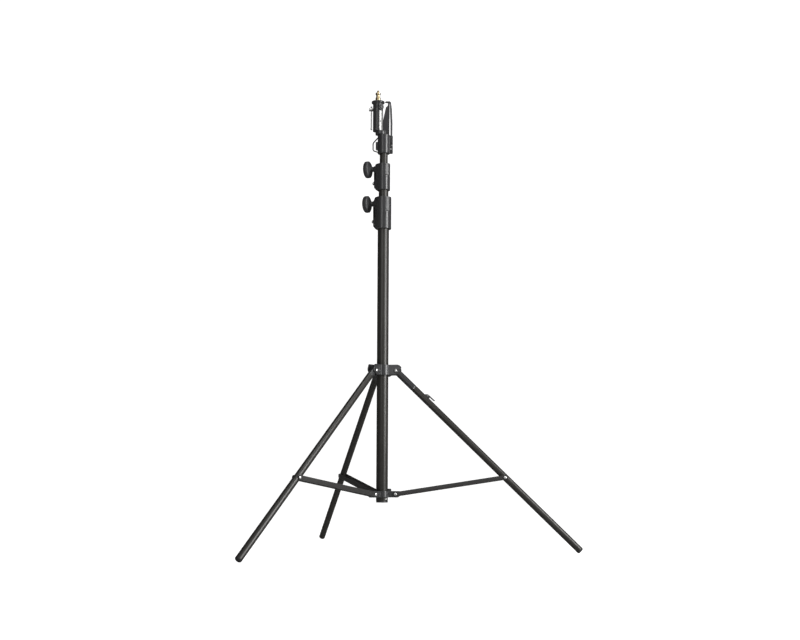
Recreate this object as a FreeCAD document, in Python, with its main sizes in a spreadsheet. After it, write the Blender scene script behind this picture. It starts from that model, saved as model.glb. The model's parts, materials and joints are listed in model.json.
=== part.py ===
import FreeCAD, Part
import math
import os
import Sketcher

# A folding lighting stand: a column on three braced tube legs, two telescopic risers locked by
# hand knobs, and a head with an offset socket, a catch lever and a removable 16 mm stud.
# Origin: on the floor, on the column's axis. +Z up. +X lies over the levelling leg.

V = FreeCAD.Vector
X_AXIS = V(1, 0, 0)
Y_AXIS = V(0, 1, 0)
Z_AXIS = V(0, 0, 1)

doc = FreeCAD.newDocument("lighting_stand")
sheet = doc.addObject("Spreadsheet::Sheet", "Dims")

# Driving dimensions, in millimetres and degrees. Heights are above the floor.
DIMENSIONS = dict(
    column_od=35.0, column_wall=1.75, column_base=145.0, column_head=1040.0,
    first_od=30.0, second_od=25.0, riser_wall=1.5, first_foot=178.0, first_head=1140.0,
    second_foot=212.0, second_head=1245.0,
    leg_od=20.0, leg_wall=1.5, leg_angle=45.8, fitting_end=25.0, foot_flange=5.0, foot_edge=3.0,
    hinge_height=530.5, pivot_radius=42.0, hub_low=518.0, hub_top=549.4,
    brace_height=164.5, brace_on_leg=452.0, strap_depth=14.0, strap_wall=2.5, strap_gap=20.8,
    collar_low=155.2, collar_top=173.8, lug_reach=55.0, lug_width=20.2,
    pin_r=3.0, pin_play=0.05, rivet_head_r=4.6, rivet_head_rise=1.6, play=0.3,
    wing_shank_r=4.0, ear_wall=2.8, ear_gap=20.8, ear_reach=56.0, hub_r=24.5, bush_wall=2.7,
    level_seam=74.0, level_inner_od=16.4, level_inner_wall=1.5, level_inner_end=430.0,
    lever_pivot=121.0, lever_rise=14.2, lever_length=25.0, lever_width=6.0,
    low_lock_z=966.0, low_lock_tall=99.0, low_barrel_r=24.0, low_boss_reach=31.5,
    up_lock_z=1087.0, up_lock_tall=83.0, up_barrel_r=20.0, up_boss_reach=29.6,
    low_knob_up=81.0, low_bolt_up=25.5, up_knob_up=69.0, up_bolt_up=24.0,
    knob_boss_r=9.5, bolt_boss_r=8.0, window_depth=5.2, lock_lip=3.0, adjuster_r=5.0,
    knob_r=26.0, knob_screw_r=5.0, collar_r=22.0, clamp_screw_out=32.0, clamp_screw_r=2.0,
    wing_rise=3.0, pad_r=3.0, lever_pin_r=1.5, guide_bore=5.0,
    head_low=1202.0, head_top=1262.0, head_r=19.0, foot_wall=11.0,
    socket_offset=18.4, socket_r=15.6, socket_bore_r=12.5, socket_top=1368.0, flange_r=20.3,
    stud_r=8.0, stud_base=1371.0, stud_top=1396.0, stud_tip=1403.0, tip_r=3.2,
    catch_x=22.0, catch_z=1216.0, catch_pin_r=2.0, tommy_z=1342.0, tommy_r=3.5, bar_r=2.0,
    bar_out=20.6, button_z=1348.0, button_r=7.0, button_hole_r=7.3, loop_wire_r=2.0,
)
for row, (alias, number) in enumerate(DIMENSIONS.items(), start=1):
    sheet.set(f"A{row}", alias)
    sheet.set(f"B{row}", str(number))
    sheet.setAlias(f"B{row}", alias)
doc.recompute()

# Directions about the column, in degrees from +X.
LEGS = dict(right=0.0, rear=120.0, left=240.0)
WING_TURN = 60.0
KNOB_TURN = 169.4
HEAD_TURN = 9.43
SLOT_TURN = 132.4 - KNOB_TURN
PLUG_RIVET_TURN = -39.6
BUTTON_TURN = 33.0
WING_LEAN = 61.0
# Longer than any piece it passes through: the reach of a boring or trimming tool.
THROUGH = 60

sub_parts = []


def value(expression):
    """The number an expression over the sheet stands for."""
    if isinstance(expression, (int, float)):
        return float(expression)
    result = sheet.evalExpression(expression)
    return float(getattr(result, "Value", result))


def bind(obj, **expressions):
    for prop, expression in expressions.items():
        obj.setExpression(prop, str(expression))
    return obj


def named(obj, label, placement=None):
    """Record an object as a finished sub-part under its own label."""
    obj.Label = label
    if placement is not None:
        obj.Placement = placement
    sub_parts.append(obj)
    return obj


def placed(at, along=Z_AXIS):
    """A placement whose local +Z points along a direction."""
    return FreeCAD.Placement(V(*[value(c) for c in at]), FreeCAD.Rotation(Z_AXIS, along))


def rod(name, radius, length, at=(0, 0, 0), along=Z_AXIS):
    obj = doc.addObject("Part::Cylinder", name)
    bind(obj, Radius=radius, Height=length)
    obj.Placement = placed(at, along)
    return obj


def block(name, size, low, turn=0.0):
    """A box given by its sizes and lowest corner, then turned about the column's axis."""
    obj = doc.addObject("Part::Box", name)
    bind(obj, Length=size[0], Width=size[1], Height=size[2])
    corner = FreeCAD.Placement(V(*[value(c) for c in low]), FreeCAD.Rotation())
    obj.Placement = FreeCAD.Placement(V(), FreeCAD.Rotation(Z_AXIS, turn)).multiply(corner)
    return obj


def cut(name, base, *tools):
    """A boolean cut of one or several tools out of a base."""
    tool = tools[0] if len(tools) == 1 else fuse(name + "_tools", *tools)
    obj = doc.addObject("Part::Cut", name)
    obj.Base = base
    obj.Tool = tool
    return obj


def fuse(name, *shapes):
    obj = doc.addObject("Part::MultiFuse", name)
    obj.Shapes = list(shapes)
    obj.Refine = True
    return obj


def common(name, first, second):
    obj = doc.addObject("Part::MultiCommon", name)
    obj.Shapes = [first, second]
    return obj


def group(name, *shapes):
    """Separate solids that share one node."""
    obj = doc.addObject("Part::Compound", name)
    obj.Links = list(shapes)
    return obj


def tube(name, outer, inner, length, at=(0, 0, 0), along=Z_AXIS):
    """A tube from expressions for its outer and inner radius and its length."""
    return cut(name, rod(name + "_outer", outer, length, at, along),
               rod(name + "_inner", inner, length, at, along))


def outline(body, name, plane, corners):
    """A closed sketch of straight edges whose corners are held by expressions over the sheet."""
    sketch = body.newObject("Sketcher::SketchObject", name)
    support = [f for f in body.Origin.OriginFeatures if f.Role == plane][0]
    sketch.AttachmentSupport = [(support, "")]
    sketch.MapMode = "FlatFace"
    points = [V(value(x), value(y), 0) for x, y in corners]
    for i, point in enumerate(points):
        sketch.addGeometry(Part.LineSegment(point, points[(i + 1) % len(points)]), False)
    for i in range(len(points)):
        sketch.addConstraint(Sketcher.Constraint("Coincident", i, 2, (i + 1) % len(points), 1))
    for i, (x, y) in enumerate(corners):
        for kind, coordinate in (("DistanceX", x), ("DistanceY", y)):
            held = sketch.addConstraint(Sketcher.Constraint(kind, -1, 1, i, 1, value(coordinate)))
            if isinstance(coordinate, str):
                sketch.setExpression(f"Constraints[{held}]", coordinate)
    return sketch


def plate(name, corners, thickness, plane="XZ_Plane"):
    """A flat piece of even thickness, centred on its sketch plane."""
    body = doc.addObject("PartDesign::Body", name)
    sketch = outline(body, name + "_outline", plane, corners)
    pad = body.newObject("PartDesign::Pad", name + "_pad")
    pad.Profile = sketch
    bind(pad, Length=thickness)
    pad.Midplane = True
    body.Tip = pad
    return body


def turned(name, corners, placement=None):
    """A turned piece: corners are (radius, height) about the local Z axis."""
    body = doc.addObject("PartDesign::Body", name)
    sketch = outline(body, name + "_profile", "XZ_Plane", corners)
    spin = body.newObject("PartDesign::Revolution", name + "_spin")
    spin.Profile = sketch
    spin.ReferenceAxis = (sketch, ["V_Axis"])
    body.Tip = spin
    if placement is not None:
        body.Placement = placement
    return body


def around(turn, radius=0.0, height=0.0, tilt=0.0):
    """A place at a radius and height in a direction about the column.

    A tilt swings the local -Z axis outwards, away from the column.
    """
    turned_z = FreeCAD.Rotation(Z_AXIS, turn)
    spot = turned_z.multVec(V(value(radius), 0, value(height)))
    return FreeCAD.Placement(spot, turned_z.multiply(FreeCAD.Rotation(Y_AXIS, -tilt)))


def rivet(name, half_width, at=(0, 0, 0)):
    """A domed rivet across local Y, with a head on each side of a stack of plates."""
    shank = rod(name + "_shank", "Dims.pin_r", f"2 * ({half_width})",
                (at[0], -value(half_width), at[2]), Y_AXIS)
    heads = []
    for side in (-1, 1):
        profile = ((0, 0), ("Dims.rivet_head_r", 0),
                   ("Dims.rivet_head_r - 0.5", "Dims.rivet_head_rise * 0.55"),
                   ("Dims.rivet_head_r - 2", "Dims.rivet_head_rise"), (0, "Dims.rivet_head_rise"))
        face = (at[0], side * value(half_width), at[2])
        heads.append(turned(f"{name}_head_{'near' if side < 0 else 'far'}", profile,
                            placed(face, Y_AXIS * side)))
    return fuse(name, shank, *heads)


# ---------------------------------------------------------------- column and brace collar

leg_angle = math.radians(value("Dims.leg_angle"))
leg_length = (value("Dims.foot_edge")
              + (value("Dims.hinge_height") - value("Dims.leg_od / 2") * math.sin(leg_angle))
              / math.cos(leg_angle))
brace_run = value("Dims.brace_on_leg") * math.sin(leg_angle)
brace_rise = (value("Dims.hinge_height - Dims.brace_height")
              - value("Dims.brace_on_leg") * math.cos(leg_angle))
brace_length = math.hypot(brace_run, brace_rise)
brace_tilt = math.degrees(math.atan2(brace_run, brace_rise))


def make_column():
    named(tube("column_tube", "Dims.column_od / 2", "Dims.column_od / 2 - Dims.column_wall",
               "Dims.column_head - Dims.column_base", (0, 0, "Dims.column_base")), "column_tube")
    plug = turned("plug", ((0, "Dims.column_base - 5"),
                           ("Dims.column_od / 2 - 1", "Dims.column_base - 5"),
                           ("Dims.column_od / 2", "Dims.column_base - 4"),
                           ("Dims.column_od / 2", "Dims.column_base"),
                           ("Dims.column_od / 2 - Dims.column_wall", "Dims.column_base"),
                           ("Dims.column_od / 2 - Dims.column_wall", "Dims.column_base + 18"),
                           (0, "Dims.column_base + 18")))
    named(plug, "column_bottom_plug")
    screw = turned("plug_screw", ((0, 0), ("Dims.pin_r", 0), ("Dims.pin_r", 1),
                                  ("Dims.pin_r - 1", 1.8), (0, 1.8)))
    named(screw, "column_plug_rivet",
          FreeCAD.Placement(V(), FreeCAD.Rotation(Z_AXIS, PLUG_RIVET_TURN)).multiply(
              placed(("Dims.column_od / 2", 0, "Dims.column_base + 5.2"), X_AXIS)))


def make_brace_collar():
    ring = rod("collar_ring", "Dims.collar_r", "Dims.collar_top - Dims.collar_low",
               (0, 0, "Dims.collar_low"))
    solids = [ring]
    for name, turn in LEGS.items():
        lug = plate(f"collar_lug_{name}", (
            (16, "Dims.collar_low"), ("Dims.lug_reach - 7", "Dims.collar_low"),
            ("Dims.lug_reach", "Dims.collar_low + 6"), ("Dims.lug_reach", "Dims.collar_top - 3"),
            ("Dims.lug_reach - 3", "Dims.collar_top"), (16, "Dims.collar_top")), "Dims.lug_width")
        lug.Placement = around(turn)
        solids.append(lug)
    for side in (-1, 1):
        solids.append(block(f"clamp_ear_{'a' if side < 0 else 'b'}", (22, 3.5, 20),
                            (16, side * 3.75 - 1.75, "Dims.collar_top - 13.5"), WING_TURN))
    blank = fuse("collar_blank", *solids)
    tools = [rod("collar_bore", "Dims.column_od / 2", THROUGH, (0, 0, "Dims.collar_low - 20")),
             block("clamp_split", (30, 4, 60), (15, -2, "Dims.collar_low - 20"), WING_TURN)]
    for name, turn in LEGS.items():
        hole = rod(f"collar_pin_hole_{name}", "Dims.pin_r", THROUGH)
        hole.Placement = around(turn, "Dims.pivot_radius", "Dims.brace_height").multiply(
            placed((0, -THROUGH / 2, 0), Y_AXIS))
        tools.append(hole)
    bolt_hole = rod("collar_bolt_hole", "Dims.clamp_screw_r", THROUGH)
    bolt_hole.Placement = around(WING_TURN, "Dims.clamp_screw_out", "Dims.collar_top - 5").multiply(
        placed((0, -THROUGH / 2, 0), Y_AXIS))
    tools.append(bolt_hole)
    named(cut("brace_collar", blank, *tools), "brace_collar")
    pins = []
    for name, turn in LEGS.items():
        pin = rivet(f"collar_pin_{name}", "Dims.strap_gap / 2 + Dims.strap_wall + 0.1")
        pin.Placement = around(turn, "Dims.pivot_radius", "Dims.brace_height")
        pins.append(pin)
    named(group("brace_collar_pins", *pins), "brace_collar_pins")
    bolt = turned("collar_bolt", (
        (0, -9.5), (3.6, -9.5), (3.6, -5.6), ("Dims.clamp_screw_r", -5.6), ("Dims.clamp_screw_r", 5.6),
        (3.4, 5.6), (3.4, 8.6), (0, 8.6)))
    named(bolt, "brace_collar_bolt",
          around(WING_TURN, "Dims.clamp_screw_out", "Dims.collar_top - 5").multiply(
              placed((0, 0, 0), Y_AXIS)))


# ---------------------------------------------------------------- leg collar

def make_leg_collar():
    tall = "Dims.hub_top - Dims.hub_low"
    wing_height = "Dims.hinge_height + Dims.wing_rise"
    bush_bore = "Dims.column_od / 2 + Dims.play"
    bush_r = "Dims.column_od / 2 + Dims.play + Dims.bush_wall"
    solids = [rod("hub_ring", "Dims.hub_r", tall, (0, 0, "Dims.hub_low"))]
    reach = "Dims.ear_reach"
    for name, turn in LEGS.items():
        for side in (-1, 1):
            ear = plate(f"ear_{name}_{'a' if side < 0 else 'b'}", (
                (18, "Dims.hub_low"), (f"{reach} - 14", "Dims.hub_low"),
                (f"{reach} - 2", "Dims.hub_low + 9"), (reach, "Dims.hub_low + 16"),
                (f"{reach} - 4", "Dims.hub_top - 2"), (f"{reach} - 7", "Dims.hub_top"),
                (18, "Dims.hub_top")), "Dims.ear_wall")
            ear.Placement = around(turn).multiply(
                placed((0, side * value("Dims.ear_gap / 2 + Dims.ear_wall / 2"), 0)))
            solids.append(ear)
    boss = rod("wing_boss", 8.5, 16)
    boss.Placement = around(WING_TURN, 20, wing_height).multiply(placed((0, 0, 0), X_AXIS))
    blank = fuse("hub_blank", boss, *solids)
    tools = [rod("hub_bore", bush_r, THROUGH, (0, 0, "Dims.hub_low - 10"))]
    wing_hole = rod("wing_hole", "Dims.wing_shank_r + Dims.pin_play", 40)
    wing_hole.Placement = around(WING_TURN, 10, wing_height).multiply(
        placed((0, 0, 0), X_AXIS))
    tools.append(wing_hole)
    for name, turn in LEGS.items():
        hole = rod(f"ear_hole_{name}", "Dims.pin_r", THROUGH)
        hole.Placement = around(turn, "Dims.pivot_radius", "Dims.hinge_height").multiply(
            placed((0, -THROUGH / 2, 0), Y_AXIS))
        tools.append(hole)
    named(cut("leg_collar_casting", blank, *tools), "leg_collar_casting")

    bush_tube = tube("hub_bush_tube", bush_r, bush_bore, tall, (0, 0, "Dims.hub_low"))
    bush_hole = rod("bush_hole", "Dims.wing_shank_r + Dims.pin_play", 20)
    bush_hole.Placement = around(WING_TURN, 14, wing_height).multiply(
        placed((0, 0, 0), X_AXIS))
    named(cut("leg_collar_bush", bush_tube, bush_hole), "leg_collar_bush")

    pins = []
    for name, turn in LEGS.items():
        pin = rivet(f"hinge_pin_{name}", "Dims.ear_gap / 2 + Dims.ear_wall")
        pin.Placement = around(turn, "Dims.pivot_radius", "Dims.hinge_height")
        pins.append(pin)
    named(group("leg_hinge_pins", *pins), "leg_hinge_pins")

    # The wing screw: a threaded shank, a hub and two tapering wings set askew.
    shank = rod("wing_shank", "Dims.wing_shank_r", 40, (0, 0, 0))
    hub = turned("wing_hub", ((0, 28), (7, 28), (7.5, 30), (6, 44), (4, 46), (0, 46)))
    wing = plate("wing_bar", ((-27, 37), (-26, 34.5), (0, 31), (26, 34.5), (27, 37), (26.5, 42.5),
                              (20, 44), (0, 41), (-20, 44), (-26.5, 42.5)), 6)
    wing_screw = fuse("wing_screw_solid", shank, hub, wing)
    lean = FreeCAD.Placement(V(), FreeCAD.Rotation(X_AXIS, WING_LEAN))
    named(wing_screw, "wing_screw", around(WING_TURN, 18.2, wing_height).multiply(
        lean).multiply(placed((0, 0, 0), X_AXIS)))


# ---------------------------------------------------------------- legs

def make_fitting(name, shank_end, spigot_end):
    """A leg's top fitting: a rounded nose around the hinge pin, then the plug in the tube."""
    radius = "Dims.leg_od / 2"
    barrel = rod(f"{name}_barrel", radius, shank_end, (0, 0, f"-({shank_end})"))
    cross = rod(f"{name}_cross", radius, "Dims.leg_od", (0, f"-({radius})", 0), Y_AXIS)
    upright = rod(f"{name}_upright", radius, "Dims.leg_od", (0, 0, f"-({radius})"))
    nose = common(f"{name}_nose", cross, upright)
    hole = rod(f"{name}_hole", "Dims.pin_r + Dims.pin_play", THROUGH, (0, -THROUGH / 2, 0), Y_AXIS)
    parts = [barrel, nose]
    if spigot_end is not None:
        parts.append(rod(f"{name}_spigot", "Dims.leg_od / 2 - Dims.leg_wall", spigot_end,
                         (0, 0, f"-({spigot_end})")))
    return cut(name, fuse(f"{name}_blank", *parts), hole)


def make_foot(name):
    """A plastic end plug with a flange as wide as the tube and a bevelled tread."""
    end = -leg_length
    inner = value("Dims.leg_od / 2 - Dims.leg_wall")
    radius = value("Dims.leg_od / 2")
    edge = value("Dims.foot_edge")
    shoulder = end + value("Dims.foot_flange")
    return turned(name, ((0, end), (radius - edge, end), (radius, end + edge), (radius, shoulder),
                         (inner, shoulder), (inner, shoulder + 20), (0, shoulder + 20)))


def make_leg(name, turn):
    spot = around(turn, "Dims.pivot_radius", "Dims.hinge_height", value("Dims.leg_angle"))
    tube_end = leg_length - value("Dims.foot_flange")
    if name == "right":
        top = value("Dims.level_seam") + 1.5
        fitting = make_fitting("right_fitting_solid", "Dims.level_seam", None)
        socket = rod("right_fitting_socket", "Dims.level_inner_od / 2", 40, (0, 0, "-Dims.level_seam - 4"))
        named(cut("right_fitting", fitting, socket), "leg_right_fitting", spot)
        inner_top = value("Dims.level_seam") - 36
        named(tube("inner_tube", "Dims.level_inner_od / 2",
                   "Dims.level_inner_od / 2 - Dims.level_inner_wall",
                   f"Dims.level_inner_end - {inner_top}", (0, 0, "-Dims.level_inner_end")),
              "levelling_inner_tube", spot)
    else:
        top = value("Dims.fitting_end")
        named(make_fitting(f"{name}_fitting", "Dims.fitting_end", "Dims.fitting_end + 35"),
              f"leg_{name}_fitting", spot)
    leg_tube = tube(f"{name}_leg_tube", "Dims.leg_od / 2", "Dims.leg_od / 2 - Dims.leg_wall",
                    tube_end - top, (0, 0, -tube_end))
    if name == "right":
        pad_hole = rod("pad_hole", "Dims.pad_r", 10, (4, 0, "-Dims.lever_pivot"), X_AXIS)
        leg_tube = cut("right_leg_tube_drilled", leg_tube, pad_hole)
    named(leg_tube, f"leg_{name}_tube", spot)
    named(make_foot(f"{name}_foot"), f"leg_{name}_foot", spot)


def make_levelling_lock():
    """The flip lever that clamps the levelling leg's outer tube on its inner tube."""
    spot = around(LEGS["right"], "Dims.pivot_radius", "Dims.hinge_height", value("Dims.leg_angle"))
    pivot = "-Dims.lever_pivot"
    rise = "Dims.lever_rise"
    width = "Dims.lever_width"
    mount = plate("mount_blank", ((6, f"{pivot} - 7"), (11.5, f"{pivot} - 7"), (16.8, f"{pivot} - 2"),
                                  (16.8, f"{pivot} + 3"), (11.5, f"{pivot} + 9"), (6, f"{pivot} + 9")), 11)
    gap = block("mount_gap", (12, f"{width} + 0.6", 24), (10.9, f"-{width} / 2 - 0.3", f"{pivot} - 12"))
    pad_hole = rod("mount_pad_hole", "Dims.pad_r", 10, (6, 0, pivot), X_AXIS)
    saddle = rod("mount_saddle", "Dims.leg_od / 2", 40, (0, 0, f"{pivot} - 20"))
    pin_hole = rod("mount_pin_hole", "Dims.lever_pin_r", 20, (rise, -10, pivot), Y_AXIS)
    named(cut("mount", mount, gap, saddle, pin_hole, pad_hole), "levelling_lever_mount", spot)
    pin_end = -5.5
    named(rod("lever_pin", "Dims.lever_pin_r", f"-2 * ({pin_end})"), "levelling_lever_pin",
          spot.multiply(placed((rise, pin_end, pivot), Y_AXIS)))
    named(rod("brake_pad", "Dims.pad_r - 0.1", 2.4), "levelling_brake_pad",
          spot.multiply(placed((8.55, 0, pivot), X_AXIS)))

    tip = f"{pivot} - Dims.lever_length"
    eye = rod("lever_eye", 3.0, width, (rise, f"-{width} / 2", pivot), Y_AXIS)
    arm = plate("lever_arm", (
        (f"{rise} - 1.4", pivot), (f"{rise} - 0.6", f"{tip} + 3"), (f"{rise} + 1", tip),
        (f"{rise} + 3.6", tip), (f"{rise} + 3.2", f"{tip} + 5"), (f"{rise} + 2.6", pivot)), width)
    bore = rod("lever_bore", "Dims.lever_pin_r + Dims.pin_play", 20, (rise, -10, pivot), Y_AXIS)
    named(cut("lever", fuse("lever_blank", eye, arm), bore), "levelling_lever", spot)


# ---------------------------------------------------------------- braces

def make_brace(name, turn):
    """Two flat straps, one on each side of the leg, with short rivets at their outer ends."""
    spot = around(turn, "Dims.pivot_radius", "Dims.brace_height", 0).multiply(
        FreeCAD.Placement(V(), FreeCAD.Rotation(Y_AXIS, brace_tilt)))
    straps = []
    rivets = []
    for side in (-1, 1):
        tag = f"{name}_{'a' if side < 0 else 'b'}"
        inner = side * value("Dims.strap_gap / 2")
        low = min(inner, inner + side * value("Dims.strap_wall"))
        bar = block(f"strap_bar_{tag}", ("Dims.strap_depth", "Dims.strap_wall", brace_length),
                    ("-Dims.strap_depth / 2", low, 0))
        ends = [rod(f"strap_end_{tag}_{k}", "Dims.strap_depth / 2", "Dims.strap_wall", (0, low, z), Y_AXIS)
                for k, z in enumerate((0, brace_length))]
        pivot = rod(f"strap_pivot_{tag}", "Dims.pin_r + Dims.pin_play", 10, (0, low - 4, 0), Y_AXIS)
        outer = rod(f"strap_outer_{tag}", "Dims.pin_r", 10, (0, low - 4, brace_length), Y_AXIS)
        straps.append(cut(f"strap_{tag}", fuse(f"strap_blank_{tag}", bar, *ends), pivot, outer))
        half = turned(f"half_rivet_{tag}", (
            (0, 0.1), ("Dims.pin_r", 0.1), ("Dims.pin_r", "Dims.strap_wall"),
            ("Dims.rivet_head_r", "Dims.strap_wall"),
            ("Dims.rivet_head_r - 0.5", "Dims.strap_wall + Dims.rivet_head_rise * 0.55"),
            ("Dims.rivet_head_r - 2", "Dims.strap_wall + Dims.rivet_head_rise"),
            (0, "Dims.strap_wall + Dims.rivet_head_rise")),
            placed((0, inner, brace_length), Y_AXIS * side))
        rivets.append(half)
    named(group(f"{name}_straps", *straps), f"brace_{name}_straps", spot)
    named(group(f"{name}_rivets", *rivets), f"brace_{name}_rivets", spot)


# ---------------------------------------------------------------- riser locks

def make_lock(name, low, tall, barrel, reach, seat, riser, seat_top, knob_up, bolt_up):
    """A cast riser lock: barrel, tapering boss with a window, knob boss and bolt boss.

    It is made with its knob towards local -X and its bottom at z = 0, then turned and raised.
    """
    spot = around(KNOB_TURN - 180, 0, low)
    boss_reach = value(reach)
    height = value(tall)
    rib_plan = plate(f"{name}_plan", (
        (2, f"-({barrel})"), (f"-({reach})", "1 - Dims.knob_boss_r"),
        (f"-({reach})", "Dims.knob_boss_r - 1"), (2, barrel)), 400, "XY_Plane")
    rib_side = plate(f"{name}_side", (
        (2, 0), (f"9 - ({reach})", 0), (f"1 - ({reach})", 9), (f"-({reach})", f"{tall} - 15"),
        (f"8 - ({reach})", tall), (2, tall)), 80)
    rib = common(f"{name}_rib", rib_plan, rib_side)
    knob_boss = rod(f"{name}_knob_boss", "Dims.knob_boss_r", f"{reach} + 1.2", (0, 0, knob_up), -X_AXIS)
    bolt_boss = rod(f"{name}_bolt_boss", "Dims.bolt_boss_r", f"{reach} + 0.6", (0, 0, bolt_up), -X_AXIS)
    shell = fuse(f"{name}_blank", rod(f"{name}_barrel", barrel, tall), rib, knob_boss, bolt_boss)

    # The window opens the boss from side to side between the two screws; the slot lightens the barrel.
    window_tall = value(knob_up) - value(bolt_up) - 21
    window = block(f"{name}_window", ("Dims.window_depth", THROUGH, window_tall),
                   (3.2 - boss_reach, -THROUGH / 2, value(bolt_up) + 10))
    slot_wide = 11.0
    slot = block(f"{name}_slot", (4, slot_wide, height / 2),
                 (value(barrel) - 2, -slot_wide / 2, height / 2 + 4), SLOT_TURN)
    bore = rod(f"{name}_seat", seat, f"{tall} - Dims.lock_lip + 10", (0, 0, -10))
    lip = rod(f"{name}_lip", f"{riser} + 0.6", THROUGH, (0, 0, f"{tall} - {THROUGH} / 2"))
    screw_hole = rod(f"{name}_screw_hole", "Dims.knob_screw_r + Dims.pin_play", THROUGH,
                     (-10, 0, knob_up), -X_AXIS)
    bolt_hole = rod(f"{name}_bolt_hole", "Dims.pin_r", THROUGH, (-10, 0, bolt_up), -X_AXIS)
    named(cut(f"{name}_casting", shell, window, slot, bore, lip, screw_hole, bolt_hole),
          f"{name}_casting", spot)

    # The split bush above the tube's end, with a shoe let into it where the knob's screw presses.
    bush_low = value(seat_top) - value(low)
    bush_tall = height - value("Dims.lock_lip") - bush_low
    bush = tube(f"{name}_bush_tube", seat, f"{riser} + Dims.play", bush_tall, (0, 0, bush_low))
    shoe_side = 10
    shoe_tall = 12
    pocket = block(f"{name}_shoe_pocket", (16, shoe_side + 1, shoe_tall + 1),
                   (-26, -(shoe_side + 1) / 2, value(knob_up) - (shoe_tall + 1) / 2))
    named(cut(f"{name}_bush_solid", bush, pocket), f"{name}_bush", spot)
    shoe_low = value(knob_up) - shoe_tall / 2
    shoe_ring = tube(f"{name}_shoe_ring", f"{seat} - 0.1", f"{riser} + Dims.play", shoe_tall,
                     (0, 0, shoe_low))
    shoe_box = block(f"{name}_shoe_box", (16, shoe_side, shoe_tall), (-26, -shoe_side / 2, shoe_low))
    named(common(f"{name}_shoe_solid", shoe_ring, shoe_box), f"{name}_shoe", spot)

    hexagon = [(value("Dims.adjuster_r") * math.cos(corner * math.pi / 3),
                value("Dims.adjuster_r") * math.sin(corner * math.pi / 3)) for corner in range(6)]
    head = plate(f"{name}_hex", hexagon, 5.4, "XY_Plane")
    head.Placement = placed((f"-({reach}) - 3.3", 0, bolt_up), X_AXIS)
    shank = rod(f"{name}_shank", "Dims.pin_r", f"{reach} - ({seat})", (f"-({seat}) - 0.6", 0, bolt_up),
                -X_AXIS)
    named(fuse(f"{name}_adjuster_solid", head, shank), f"{name}_adjuster", spot)
    return spot


def make_knob(name, spot, reach, seat, knob_up):
    """A dished hand knob on its clamping screw, along local -X of the lock."""
    screw_start = value(seat) + 0.1
    hub = value(reach) + 2.0
    radius = "Dims.knob_r"
    axis = spot.multiply(placed((0, 0, knob_up), -X_AXIS))
    head = turned(f"{name}_head_blank", (
        ("Dims.knob_screw_r", hub), (7.5, hub), (8, hub + 6), (12, hub + 9), (f"{radius} - 4", hub + 12.5),
        (radius, hub + 15), (radius, hub + 25), (f"{radius} - 2", hub + 27.5), (f"{radius} - 9", hub + 30.5),
        (8, hub + 32), (0, hub + 32.3), (0, hub + 16), ("Dims.knob_screw_r", hub + 16)))
    named(head, f"{name}_head", axis)
    screw = rod(f"{name}_screw_rod", "Dims.knob_screw_r", hub + 16 - screw_start)
    named(screw, f"{name}_screw", axis.multiply(placed((0, 0, screw_start))))


# ---------------------------------------------------------------- risers

def make_riser(name, od, low, high, bore):
    """A riser tube with a plastic guide plugged into its foot, running in the tube below."""
    inner = f"{od} / 2 - Dims.riser_wall"
    named(tube(f"{name}_tube", f"{od} / 2", inner, f"{high} - {low}", (0, 0, low)), f"{name}_tube")
    running = f"{bore} - Dims.play"
    guide = turned(f"{name}_guide", (
        ("Dims.guide_bore", f"{low} - 8"), (f"{running} - 1", f"{low} - 8"), (running, f"{low} - 7"),
        (running, low), (inner, low), (inner, f"{low} + 16"), ("Dims.guide_bore", f"{low} + 16")))
    named(guide, f"{name}_guide")


# ---------------------------------------------------------------- head

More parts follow.
